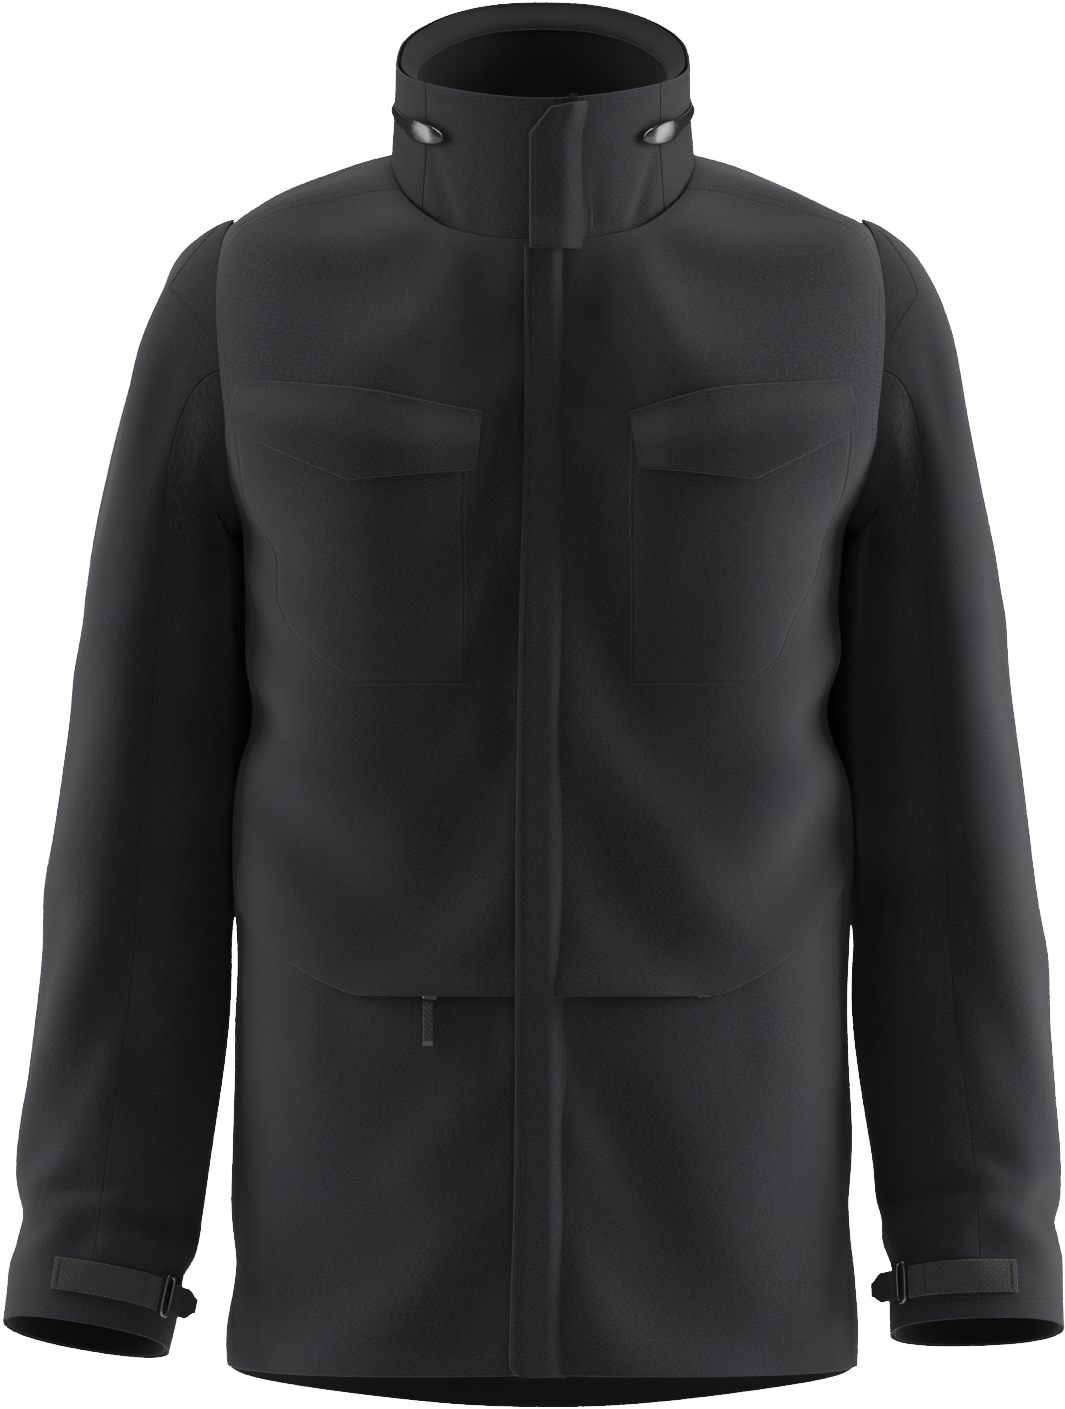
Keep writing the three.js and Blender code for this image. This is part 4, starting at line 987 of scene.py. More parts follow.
def rounded_bar(points, radius, sides=8):
    """A closed ring of round section through points, as vertices and faces."""
    points = np.asarray(points, float)
    count = len(points)
    ahead = np.roll(points, -1, 0) - np.roll(points, 1, 0)
    ahead /= np.linalg.norm(ahead, axis=-1, keepdims=True)
    plane = np.cross(points[0] - points.mean(0), points[count // 4] - points.mean(0))
    plane /= np.linalg.norm(plane)
    aside = np.cross(ahead, plane)
    turn = np.linspace(0, 2 * np.pi, sides, endpoint=False)
    around = np.cos(turn)[None, :, None] * aside[:, None] + np.sin(turn)[None, :, None] * plane
    ring = points[:, None] + radius * around
    a = np.arange(count * sides).reshape(count, sides)
    b = np.roll(a, -1, 0)
    faces = np.stack([a, b, np.roll(b, -1, 1), np.roll(a, -1, 1)], -1).reshape(-1, 4)
    return ring.reshape(-1, 3), faces


def solid(name, points, faces, material, body, replaced=(), smooth=True):
    """A finished piece from points in millimetres; its cloth coordinates run across x and z."""
    mesh = bpy.data.meshes.new(name)
    mesh.from_pydata(to_frame(points).tolist(), [], [tuple(int(i) for i in f) for f in faces])
    mesh.materials.append(material)
    mesh.polygons.foreach_set("use_smooth", np.full(len(mesh.polygons), smooth))
    obj = finished(name, mesh, np.asarray(points, float)[:, [0, 2]] / 1000)
    if replaced:
        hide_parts(*replaced)
    if body:
        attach(obj, body)
    return obj


for hand, side in (("right", -1), ("left", 1)):
    here = sleeve_form(side, STRAP_TO, STRAP_W)
    along = sleeve_form(side, STRAP_TO + 4, STRAP_W) - sleeve_form(side, STRAP_TO - 4, STRAP_W)
    along /= np.linalg.norm(along)
    up = sleeve_form(side, STRAP_TO, STRAP_W - 0.02) - sleeve_form(side, STRAP_TO, STRAP_W + 0.02)
    arm_length = np.linalg.norm(up) / 0.04
    up -= along * (up @ along)
    up /= np.linalg.norm(up)
    out = np.cross(along, up)
    if out @ (here - sleeve_centre(side)(here)) < 0:
        out, up = -out, -up
    origin = here + along * 4.5

    def strap(s, t, side=side, arm_length=arm_length):
        phi = mix(STRAP_FROM, STRAP_TO, s)
        return on_sleeve(side, phi, STRAP_W - (t - 0.5) * 2 * STRAP_HALF / arm_length)

    def ribs(s, t):
        return 2.0 + 0.18 * np.sin(s * 2 * np.pi * 38)

    piece = cloth_panel("cuff_strap_" + hand, strap, 64, 20, 0.55, ribs, 1.3, 0.9, [webbing, webbing])
    sewn_to(piece, "sleeve_" + hand, "webbing", "cuff_strap_" + hand)
    cut_sheet(piece)
    rows = []
    for phi in (STRAP_FROM + 3, STRAP_TO - 13, STRAP_TO - 3.5):
        level = STRAP_W + np.linspace(-0.42, 0.42, 30) * 2 * STRAP_HALF / arm_length
        zigzag = phi + 0.9 * (np.arange(30) % 2)
        rows.append(raised(on_sleeve(side, zigzag, level), 2.75))
    stitching(
        "cuff_strap_tacks_" + hand, rows, "sleeve_" + hand, pitch=1.1, length=1.0, width=0.5, height=0.25
    )

    def local(x, y, z, origin=origin, along=along, up=up, out=out):
        x, y, z = np.broadcast_arrays(*(np.asarray(k, float) for k in (x, y, z)))
        return origin + x[..., None] * along + y[..., None] * up + z[..., None] * out

    turn = np.linspace(0, 2 * np.pi, 48, endpoint=False)
    cs, sn = np.cos(turn), np.sin(turn)
    bulge = (np.abs(cs / 3.2) ** 6 + np.abs(sn / 12.2) ** 6) ** (-1 / 6)
    points, faces = rounded_bar(local(bulge * cs, bulge * sn, 4.6), 1.15)
    solid(
        "cuff_buckle_" + hand, points, faces, buckle_metal, "cuff_buckle_" + hand,
        ("cuff_buckle_" + hand,)
    )

    def tab(s, t, local=local, out=out):
        x = mix(4.6, 28.4, s)
        point = ease(x, 20, 28.4)
        low, high = mix(-9.5, -4.0, point), mix(9.5, 5.0, point)
        y = mix(low, high, t)
        z = 2.9 - 1.2 * np.sin((x - 5) / 24 * np.pi)
        p = local(x, y, z)
        return p, np.broadcast_to(out, p.shape)

    piece = cloth_panel("cuff_tab_" + hand, tab, 24, 19, 1.2, 0.0, 1.5, 1.0, [tab_cloth, tab_cloth])
    sewn_to(piece, "cuff_tab_" + hand, "shell_cloth", "cuff_tab_" + hand)
    cut_sheet(piece)

# ---------------------------------------------------------------- collar
# A stand-up collar that closes to the chin: outer cloth, a second piece above the hood zip round
# the back, the hood rolled up between them, and a brushed lining.
rim_height = soft_curve([(0, 815), (45, 824), (90, 843), (105, 857), (135, 876.5), (158, 886), (180, 888.5)])
HOOD_TILT, HOOD_END = 19.4, 52.0
RING_CENTRE, RING_R = np.array([0.0, -13.0, 815.0]), 92.5


def zip_line(theta):
    return 815 - math.tan(math.radians(HOOD_TILT)) * 88 * np.cos(np.radians(theta))


def collar_form(theta, t):
    """t runs from the neck seam to the rim."""
    theta, t = np.broadcast_arrays(np.asarray(theta, float), np.asarray(t, float))
    at = np.abs(np.where(theta > 180, theta - 360, theta))
    z = mix(neck_height(at), rim_height(at), t)
    c, s = np.cos(np.radians(theta)), np.sin(np.radians(theta))
    level = np.clip(t, 0, 1)
    wide = mix(93, 90.5, ease(level, 0, 0.6))
    deep = mix(89 - 1.3 * level, -13 - front_line(z), np.maximum(0, c) ** 2)
    return np.stack([wide * s, -13 - deep * c, z], -1)


def collar_centre(p):
    return np.concatenate([0 * p[..., :1], 0 * p[..., :1] - 13, p[..., 2:3]], -1)


def on_collar(theta, t):
    p, n = normals_of(collar_form, theta, t, 0.3, 0.004, collar_centre)
    wrapped = np.where(theta > 180, theta - 360, theta)
    low = 1 - ease(t, 0.1, 0.75)
    for at, lean, size in ((43, 26, 2.6), (-43, -26, 2.6), (20, 8, 1.0), (-25, -10, 1.0)):
        line = at + lean * (t - 0.3)
        n_rise = size * np.exp(-(((wrapped - line) / 3.6) ** 2)) * low * ease(t, 0.0, 0.08)
        p = p - n * n_rise[..., None]
    sag = 0.7 * np.sin(wrapped / 17.0 + 1.0) * np.sin(np.clip(t, 0, 1) * np.pi)
    return p + n * sag[..., None], n


def share_of(theta, z):
    at = np.abs(np.where(theta > 180, theta - 360, theta))
    return (z - neck_height(at)) / (rim_height(at) - neck_height(at))


for hand, side in (("right", -1), ("left", 1)):
    def front_collar(s, t, side=side):
        theta = mix(11.0, -HOOD_END + 0.02, s) if side < 0 else mix(11.6, HOOD_END - 0.02, s)
        return on_collar(theta, mix(-0.002, 1.0, t))

    piece = cloth_panel("collar_front_" + hand, front_collar, 76, 90, 4, roll=0.05)
    sewn_to(piece, "jacket", "shell_cloth", "collar_front_" + hand)
    cut_sheet(piece)


def collar_low(s, t):
    theta = mix(HOOD_END + 0.1, 360 - HOOD_END - 0.02, s)
    return on_collar(theta, mix(-0.002, share_of(theta, zip_line(theta) - 3.0), t))


def collar_high(s, t):
    theta = mix(HOOD_END + 0.1, 360 - HOOD_END - 0.02, s)
    return on_collar(theta, mix(share_of(theta, zip_line(theta) + 4.2), 1.0, t))


for name, place, tall in (("collar_back_lower", collar_low, 45), ("collar_back_upper", collar_high, 42)):
    piece = cloth_panel(name, place, 400, tall, 4, roll=0.05)
    sewn_to(piece, "jacket", "shell_cloth", name)
    cut_sheet(piece)


def rolled_hood(s, t):
    theta = mix(66.0, 294.0, s)
    at = np.abs(np.where(theta > 180, theta - 360, theta))
    full = np.sqrt(ease(np.minimum(s, 1 - s), -0.02, 0.16))
    middle = mix(neck_height(at), rim_height(at), 0.52)
    z = middle + (t - 0.5) * 46 * full
    p, n = normals_of(collar_form, theta, share_of(theta, z), 0.3, 0.004, collar_centre)
    return p, n


def roll_lift(s, t):
    return -7.3 + 0.5 * np.sin(s * 60 + t * 9) + 0.3 * np.sin(s * 23)


piece = cloth_panel("stowed_hood", rolled_hood, 380, 46, 4, roll_lift, 8.0, 8.0, [shell_cloth, shell_cloth])
sewn_to(piece, "jacket", "shell_cloth", "stowed_hood")
del piece["cut_area"]


def lining_place(s, t):
    theta = mix(19.5, 340.5, s)
    return on_collar(theta, mix(0.03, 1.0, t) - 0.008)


def lining_lift(s, t):
    at = mix(19.5, 340.5, s)
    at = np.abs(np.where(at > 180, at - 360, at))
    fold_over = ease(at, 38, 68)
    return -mix(2.4, 13.0, fold_over) + mix(0, 9.5, fold_over) * ease(t, 0.80, 1.0) - 0.6 * np.sin(at / 9)


piece = cloth_panel(
    "collar_lining", lining_place, 520, 120, 4.5, lining_lift, 1.2, materials=[inside_cloth, inside_cloth]
)
sewn_to(piece, "jacket", "lining_cloth", "collar_lining")
cut_sheet(piece)

# Stitching along the collar's rim and foot, and the welt where its facing meets the lining.
rows = []
theta = np.linspace(5.5, 354.5, 260)
for t in (0.955, 0.93):
    rows.append(raised(on_collar(theta, t + 0 * theta), ON_COLLAR))
for t in (0.05, 0.075):
    rows.append(raised(on_collar(theta, t + 0 * theta), ON_COLLAR))
stitching("collar_stitching", rows, "jacket")
theta = np.linspace(105, 255, 160)
p, n = on_collar(theta, 0.79 + 0 * theta)
off = 13.6 + 0.6 * np.sin(np.minimum(theta, 360 - theta) / 9)
stitching("collar_facing_welt", [(p - n * off[..., None], -n)], "jacket", 1.6, 1.58, 0.9, 0.5)

# Hood zip on its tilted ring: teeth on a narrow tape, a slider, and a glossy cap over each end.
gloss = bpy.data.materials.new("glossy_film")
gloss.use_nodes = True
tree = gloss.node_tree
ripple = joined(tree, "ShaderNodeTexNoise", _2=180.0, _3=2.0)
ripple_bump = joined(tree, "ShaderNodeBump", _0=0.15, _1=0.0004)
tree.links.new(ripple.outputs[0], ripple_bump.inputs["Height"])
tree.links.new(ripple_bump.outputs[0], tree.nodes["Principled BSDF"].inputs["Normal"])
film_tint = joined(tree, "ShaderNodeMapRange", [(0, ripple.outputs[0])], _1=0.3, _2=0.7, _3=0.2, _4=0.32)
tree.links.new(film_tint.outputs[0], tree.nodes["Principled BSDF"].inputs["Roughness"])
film_colour = joined(tree, "ShaderNodeMix", data_type="RGBA")
film_colour.inputs[6].default_value = (0.006, 0.006, 0.007, 1)
film_colour.inputs[7].default_value = (0.016, 0.016, 0.018, 1)
tree.links.new(ripple.outputs[0], film_colour.inputs["Factor"])
tree.links.new(film_colour.outputs[2], tree.nodes["Principled BSDF"].inputs["Base Color"])
tree.nodes["Principled BSDF"].inputs["Coat Weight"].default_value = 0.2
tree.nodes["Principled BSDF"].inputs["Coat Roughness"].default_value = 0.12
zip_tape = woven(
    "zip_tape", (0.012, 0.012, 0.013), (0.035, 0.035, 0.038), pitch=0.0007, slub_level=0.2, bump=0.4,
    sheen=0.2
)
tilt = math.radians(HOOD_TILT)
ring_x = np.array([1.0, 0, 0])
ring_y = np.array([0, math.cos(tilt), math.sin(tilt)])
ring_up = np.array([0, -math.sin(tilt), math.cos(tilt)])


def on_ring(theta, radius, height):
    a = np.radians(theta)
    flat = np.sin(a)[..., None] * ring_x - np.cos(a)[..., None] * ring_y
    return RING_CENTRE + np.asarray(radius)[..., None] * flat + np.asarray(height)[..., None] * ring_up, flat


def ring_band(
    name, low, high, radius, thick, bottom, top, material, body, slot_name, replaced, step=3.0, roll=0.5
):
    def place(s, t):
        theta = mix(low, high, s)
        return on_ring(theta, radius + 0 * theta, mix(bottom, top, t))

    size = abs(high - low) * 1.6
    piece = cloth_panel(name, place, size, top - bottom, step, 0.0, thick, roll, [material, material])
    del piece["cut_area"]
    return sewn_to(piece, body, slot_name, *replaced)


ring_band(
    "hood_zip", HOOD_END + 0.8, 359.2 - HOOD_END, RING_R - 0.7, 0.7, -4.2, 4.2, zip_tape, "jacket",
    "zip_tape", ("hood_zip",)
)


# The end of the front zip's tape is folded over at the rim.
BOX_FACES = np.array([(0, 1, 3, 2), (4, 6, 7, 5), (0, 4, 5, 1), (2, 3, 7, 6), (0, 2, 6, 4), (1, 5, 7, 3)])
stub = np.array([(x, y, z) for x in (16.0, 20.5) for y in (-99.5, -97.0) for z in (811.0, 817.5)])
solid("front_zip_end", stub, BOX_FACES, zip_tape, "jacket", (), False)


def teeth(name, centres, across, along, out, size, body, replaced=()):
    """Zip teeth as small blocks set along a line: size is across, along and out."""
    half = np.array(size) / 2
    corners = np.array([(x, y, z) for x in (-1, 1) for y in (-1, 1) for z in (-1, 1)]) * half
    squeeze = np.where(corners[:, 2:3] > 0, 0.7, 1.0)
    corners = corners * np.concatenate([squeeze, squeeze, np.ones_like(squeeze)], 1)
    points = (
        centres[:, None]
        + corners[None, :, 0:1] * across[:, None]
        + corners[None, :, 1:2] * along[:, None]
        + corners[None, :, 2:3] * out[:, None]
    )
    every = (np.arange(len(centres))[:, None, None] * 8 + BOX_FACES).reshape(-1, 4)
    return solid(name, points.reshape(-1, 3), every, zip_tape_teeth, body, replaced, False)


zip_tape_teeth = woven(
    "zip_teeth", (0.01, 0.01, 0.011), (0.03, 0.03, 0.032), pitch=0.002, slub_level=0.2, sheen=0.0,
    level=0.6, wear=0.1
)
theta = np.arange(HOOD_END + 1.5, 358.5 - HOOD_END, 0.95)
place, flat = on_ring(theta, RING_R - 0.1 + 0 * theta, 0 * theta)
cs, sn = np.cos(np.radians(theta)), np.sin(np.radians(theta))
ahead = np.stack([cs, sn * math.cos(tilt), sn * math.sin(tilt)], -1)
teeth(
    "hood_zip_teeth", place, np.repeat(ring_up[None], len(theta), 0), ahead, flat, (4.0, 0.8, 1.1), "jacket"
)
ring_band(
    "hood_zip_slider", -HOOD_END - 5, -HOOD_END + 2, RING_R + 2.8, 1.3, -3.0, 3.0, buckle_metal,
    "hood_slider", "metal", ("hood_zip_slider",), 0.8, 1.2
)

for hand, side in (("right", -1), ("left", 1)):
    def cover(s, t, side=side):
        theta = side * mix(HOOD_END - 12, HOOD_END + 36, s)
        front = np.sqrt(np.clip(1 - (np.clip(0.3 - s, 0, 1) / 0.3) ** 2, 0.02, 1))
        z = zip_line(theta) + (t - 0.5) * 14 * front * mix(1.0, 0.5, ease(s, 0.3, 0.55))
        p, n = normals_of(collar_form, theta, share_of(theta, z), 0.3, 0.004, collar_centre)
        return p, n

    def cover_lift(s, t):
        return mix(5.2, 2.0, ease(s, 0.3, 0.7)) + 1.2 * np.sin(np.pi * t) - 1.3 * (1 - ease(s, 0.0, 0.15))

    piece = cloth_panel("hood_zip_cover_" + hand, cover, 76, 17, 1.3, cover_lift, 0.9, 1.6, [gloss, gloss])
    sewn_to(piece, "jacket", "gloss_trim", "hood_zip_cover_" + hand)
    cut_sheet(piece)

# ---------------------------------------------------------------- front closure
# A storm flap is sewn beside the zip and laps over it to the other front, held by press studs; a
# shorter throat tab with one cut corner closes the collar the same way.
ALPHA = math.atan(34 / 795)
FRONT_UP = np.array([0, math.sin(ALPHA), math.cos(ALPHA)])
FRONT_IN = np.array([0, math.cos(ALPHA), -math.sin(ALPHA)])
FRONT_FOOT = np.array([0, -132.0, 20.0])


def on_front(x, y, z):
    """x across, y inwards and z up the straight centre front."""
    x, y, z = np.broadcast_arrays(*(np.asarray(k, float) for k in (x, y, z)))
    across = x[..., None] * np.array([1.0, 0, 0])
    return FRONT_FOOT + across + y[..., None] * FRONT_IN + z[..., None] * FRONT_UP


FLAP_SEWN, FLAP_TOP, FLAP_BOTTOM = 14.0, 706.0, 20.0
flap_edge = soft_curve([(20, -20.5), (150, -17.5), (350, -16.5), (500, -14), (600, -11.5), (706, -11.5)])


def storm_place(s, t):
    z = mix(FLAP_BOTTOM, FLAP_TOP, t)
    free = flap_edge(z)
    corner = 9.0
    low = np.clip((corner - (z - FLAP_BOTTOM)) / corner, 0, 1)
    free = free + corner * (1 - np.sqrt(1 - low**2)) * 0.9
    x = mix(FLAP_SEWN, free, s)
    wave = 0.5 * np.sin(z / 43.0 + 1) + 0.35 * np.sin(z / 19.0)
    gape = 1.3 * np.exp(-(((z - FLAP_TOP) / 22) ** 2)) * ease(s, 0.2, 1)
    p = on_front(x, mix(0.6, -4.3, ease(s, 0.0, 0.36)) - wave * 0.6 * ease(s, 0.3, 1) - gape, z)
    return p, np.broadcast_to(-FRONT_IN, p.shape)


def storm_lift(s, t):
    welt = 0.55 * (1 - ease(np.abs(s - 0.97), 0.0, 0.05))
    channel = -0.5 * np.exp(-(((s - 0.86) / 0.022) ** 2))
    return welt + channel


flap = cloth_panel("storm_flap", storm_place, 33, 683, 2.2, storm_lift, 1.6, 1.4)
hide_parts("storm_flap")
hinge_line = to_frame(on_front(15.0, -4.4, 380.0)), to_frame(on_front(5.0, -4.4, 380.0))
STORM = ("jacket", "storm_flap", tuple(hinge_line[0]), tuple(hinge_line[1]))
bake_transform(flap)
cut_sheet(flap)

rows = []
z = np.linspace(FLAP_BOTTOM + 6, FLAP_TOP - 2, 300)
for x, y in ((flap_edge(z) + 5.0, -5.15), (7.0 + 0 * z, -2.5)):
    rows.append((on_front(x, y, z), np.repeat(-FRONT_IN[None], len(z), 0)))
for x, z0 in ((FLAP_SEWN - 3, 243), (-16.5, 596), (-15, 220), (-14, 420)):
    step = np.linspace(-4.5, 4.5, 26)
    rows.append((on_front(x + 0.8 * (np.arange(26) % 2), -5.5, z0 + step), np.repeat(-FRONT_IN[None], 26, 0)))
stitching("storm_flap_stitching", rows, None, pitch=3.0, blend=STORM)

THROAT_LOW, THROAT_HIGH = 703.5, 790.0


def throat_place(s, t):
    z = mix(THROAT_LOW, THROAT_HIGH + 5 * (1 - s), t)
    free = np.interp(z, [700, 774, 790], [-8.5, -8.5, 4.5])
    x = mix(30.0, free, s)
    lifted = 2.6 * (1 - ease(z, THROAT_LOW, THROAT_LOW + 26)) * ease(s, 0.2, 0.9)
    p = on_front(x, mix(4.6, -4.0 - lifted - 0.5 * np.sin(s * 3.0), ease(s, 0, 0.5)), z)
    return p, np.broadcast_to(-FRONT_IN, p.shape)


def throat_welt(s, t):
    return 0.5 * (1 - ease(np.abs(s - 0.95), 0, 0.06))


piece = cloth_panel("throat_flap", throat_place, 27, 82, 1.6, throat_welt, 1.6, 1.4)
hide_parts("throat_flap")
hinge_line = to_frame(on_front(19.0, -4.4, 750.0)), to_frame(on_front(10.0, -4.4, 750.0))
THROAT = ("jacket", "throat_flap", tuple(hinge_line[0]), tuple(hinge_line[1]))
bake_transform(piece)
cut_sheet(piece)
rows = []
z = np.linspace(THROAT_LOW + 2, 772, 60)
lifted = 2.3 * (1 - ease(z, THROAT_LOW, THROAT_LOW + 26))
rows.append((on_front(-4.6, -5.6 - lifted, z), np.repeat(-FRONT_IN[None], 60, 0)))
step = np.linspace(-3, 3, 18)
rows.append((on_front(-4 + 0.8 * (np.arange(18) % 2), -7.0, 717 + step), np.repeat(-FRONT_IN[None], 18, 0)))
stitching("throat_flap_stitching", rows, None, pitch=3.0, blend=THROAT)

# Front zip: two tapes with coarse teeth, a slider with its pull, and a guard behind.
for hand, side in (("right", -1), ("left", 1)):
    def tape(s, t, side=side):
        p = on_front(side * mix(0.8, 14.0, s), 3.0, mix(26.0, 786.0, t))
        return p, np.broadcast_to(-FRONT_IN, p.shape)

    piece = cloth_panel("front_zip_tape_" + hand, tape, 13, 760, 3.0, 0.0, 0.8, 0.5, [zip_tape, zip_tape])
    sewn_to(piece, "jacket", "zip_tape", "front_zip_tape_" + hand)
    cut_sheet(piece)
z = np.arange(28, 784, 2.6)
lean = np.where(np.arange(len(z)) % 2, 1.0, -1.0)
centres = on_front(lean * 1.5, 2.3, z)
ones = np.ones((len(z), 1))
teeth(
    "front_zip_teeth", centres, ones * np.array([1.0, 0, 0]), ones * FRONT_UP, -ones * FRONT_IN,
    (4.0, 1.5, 2.2), "jacket"
)


def guard(s, t):
    z = mix(26, 791, t)
    wide = ease(z, 690, 715)
    x = mix(mix(-17.0, -13.0, wide), mix(29.0, 15.0, wide), s)
    p = on_front(x, mix(7.2, 4.4, wide) + 0.5 * np.sin(t * 14), z)
    return p, np.broadcast_to(-FRONT_IN, p.shape)


piece = cloth_panel("wind_guard", guard, 46, 765, 5.0, 0.0, 1.4, 1.2)
sewn_to(piece, "jacket", "shell_cloth", "wind_guard")
cut_sheet(piece)

# ---------------------------------------------------------------- chest pockets
# Flat patch pockets with a curved outer side, each under a flap cut to a shallow point.
POCKETS = {
    -1: dict(
        inner=47,
        low=458,
        top=[(38, 624), (103, 636), (156, 642), (187, 644.5)],
        edge=[
            (458, 112), (487, 151), (508, 162), (524, 163), (541, 167), (556, 179), (571, 184), (596, 187),
            (622, 190)
        ],
        foot=[(44, 588), (116, 582.5), (188, 614)],
    ),
    1: dict(
        inner=53,
        low=458,
        top=[(52, 624), (103, 637), (156, 642), (187, 644.5)],
        edge=[
            (458, 121), (473, 140), (484, 146), (500, 153), (522, 166), (549, 175), (576, 184), (600, 188),
            (622, 189)
        ],
        foot=[(61, 589), (126, 583.5), (189, 615.5)],
    ),
}


def v_at(theta, z):
    theta, z = np.broadcast_arrays(np.asarray(theta, float), np.asarray(z, float))
    low, high = np.full(z.shape, CHEST), np.full(z.shape, NECK)
    for _ in range(14):
        middle = (low + high) / 2
        less = torso_form(theta, middle)[..., 2] < z
        low, high = np.where(less, middle, low), np.where(less, high, middle)
    return np.where(z <= CHEST, z, low)


def on_chest(x, z):
    """A point of the trunk's cloth seen straight on at x, z."""
    x, z = np.broadcast_arrays(np.asarray(x, float), np.asarray(z, float))
    side = np.sign(x)
    low, high = np.zeros(x.shape), np.full(x.shape, 89.0)
    for _ in range(16):
        middle = (low + high) / 2
        less = side * torso_form(side * middle, v_at(side * middle, z))[..., 0] < np.abs(x)
        low, high = np.where(less, middle, low), np.where(less, high, middle)
    return on_torso(side * low, v_at(side * low, z))


for hand, side in (("right", -1), ("left", 1)):
    shape = POCKETS[side]
    outline = soft_curve(shape["edge"], False)

    def bag(s, t, side=side, shape=shape, outline=outline):
        z = mix(shape["low"], 616, t)
        return on_chest(side * mix(shape["inner"], outline(z), s), z)

    def bag_lift(s, t):
        rim = np.minimum(np.minimum(s, 1 - s) * 130, t * 158)
        full = 0.9 + 0.3 * ease(rim, 0, 6) + 0.2 * np.sin(s * 7 + 2) * np.sin(t * 5)
        return full - 0.5 * np.exp(-(((rim - 2.6) / 0.6) ** 2))

    piece = cloth_panel("chest_pocket_" + hand, bag, 130, 158, 4.5, bag_lift, 1.4, 1.0)
    sewn_to(piece, "jacket", "shell_cloth", "chest_pocket_" + hand)
    cut_sheet(piece)
    rows = []
    z = np.linspace(shape["low"] + 1, 600, 90)
    rows.append(raised(on_chest(side * (outline(z) - 2.0), z), ON_POCKET))
    x = np.linspace(shape["inner"] + 2, outline(shape["low"] + 2) - 2, 60)
    rows.append(raised(on_chest(side * x, shape["low"] + 2.0 + 0 * x), ON_POCKET))
    z = np.linspace(shape["low"] + 2, 588, 60)
    rows.append(raised(on_chest(side * (shape["inner"] + 2.0) + 0 * z, z), ON_POCKET))
    stitching("chest_pocket_stitching_" + hand, rows, "jacket")

    top = soft_curve(shape["top"], False)
    foot_x, foot_z = np.array(shape["foot"], float).T

    def flap_xz(s, t, shape=shape, top=top, foot_x=foot_x, foot_z=foot_z):
        upper = mix(shape["top"][0][0], shape["top"][3][0], s)
        lower = mix(shape["foot"][0][0], shape["foot"][2][0], s)
        x = mix(lower, upper, t)
        return x, mix(np.interp(x, foot_x, foot_z), top(x), t)

    def flap_place(s, t, side=side, flap_xz=flap_xz):
        x, z = flap_xz(s, t)
        return on_chest(side * x, z)

    def flap_lift(s, t):
        stand = mix(7.5, 1.7, ease(t, 0.35, 0.98)) - 3.6 * ease(s, 0.72, 1) * (1 - 0.5 * t)
        return stand + 0.4 * np.sin(s * 9) * (1 - t)

    piece = cloth_panel("chest_flap_" + hand, flap_place, 152, 46, 3.0, flap_lift, 1.7, 1.0)
    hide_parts("chest_flap_" + hand)
    sewn_edge, _ = flap_place(np.array(0.5), np.array(0.93))
    below, _ = flap_place(np.array(0.5), np.array(0.5))
    bend = ("jacket", "chest_flap_" + hand, tuple(to_frame(sewn_edge)), tuple(to_frame(below)))
    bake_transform(piece)
    cut_sheet(piece)
    rows = []
    s = np.linspace(0.02, 0.98, 120)
    for inset in (0.05, 0.93):
        x, z = flap_xz(s, inset + 0 * s)
        rows.append(raised(on_chest(side * x, z), flap_lift(s, inset + 0 * s) + ON_FLAP))
    t = np.linspace(0.06, 0.92, 30)
    for inset in (0.016, 0.984):
        x, z = flap_xz(inset + 0 * t, t)
        rows.append(raised(on_chest(side * x, z), flap_lift(inset + 0 * t, t) + ON_FLAP))
    stitching("chest_flap_stitching_" + hand, rows, None, blend=bend)

# ---------------------------------------------------------------- waist pockets
# A hidden zip behind each pocket mouth runs along the waist; the right one shows its ribbon pull.
# Each zip: where it starts and ends and where its slider stands, out from the centre front.
MOUTHS = {-1: (22, 122, 69), 1: (32, 122, 98)}
ZIP_LEVEL = 269.0


def circle_through(a, b, c):
    d = 2 * (a[0] * (b[1] - c[1]) + b[0] * (c[1] - a[1]) + c[0] * (a[1] - b[1]))
    sq = [p[0] ** 2 + p[1] ** 2 for p in (a, b, c)]
    x = (sq[0] * (b[1] - c[1]) + sq[1] * (c[1] - a[1]) + sq[2] * (a[1] - b[1])) / d
    y = (sq[0] * (c[0] - b[0]) + sq[1] * (a[0] - c[0]) + sq[2] * (b[0] - a[0])) / d
    return x, y, math.hypot(a[0] - x, a[1] - y)


def bare_front(x, z):
    low, high = 0.0, 89.5
    side = np.sign(x)
    for _ in range(36):
        middle = (low + high) / 2
        if side * torso_form(side * middle, z)[0] < abs(x):
            low = middle
        else:
            high = middle
    return torso_form(side * low, z)


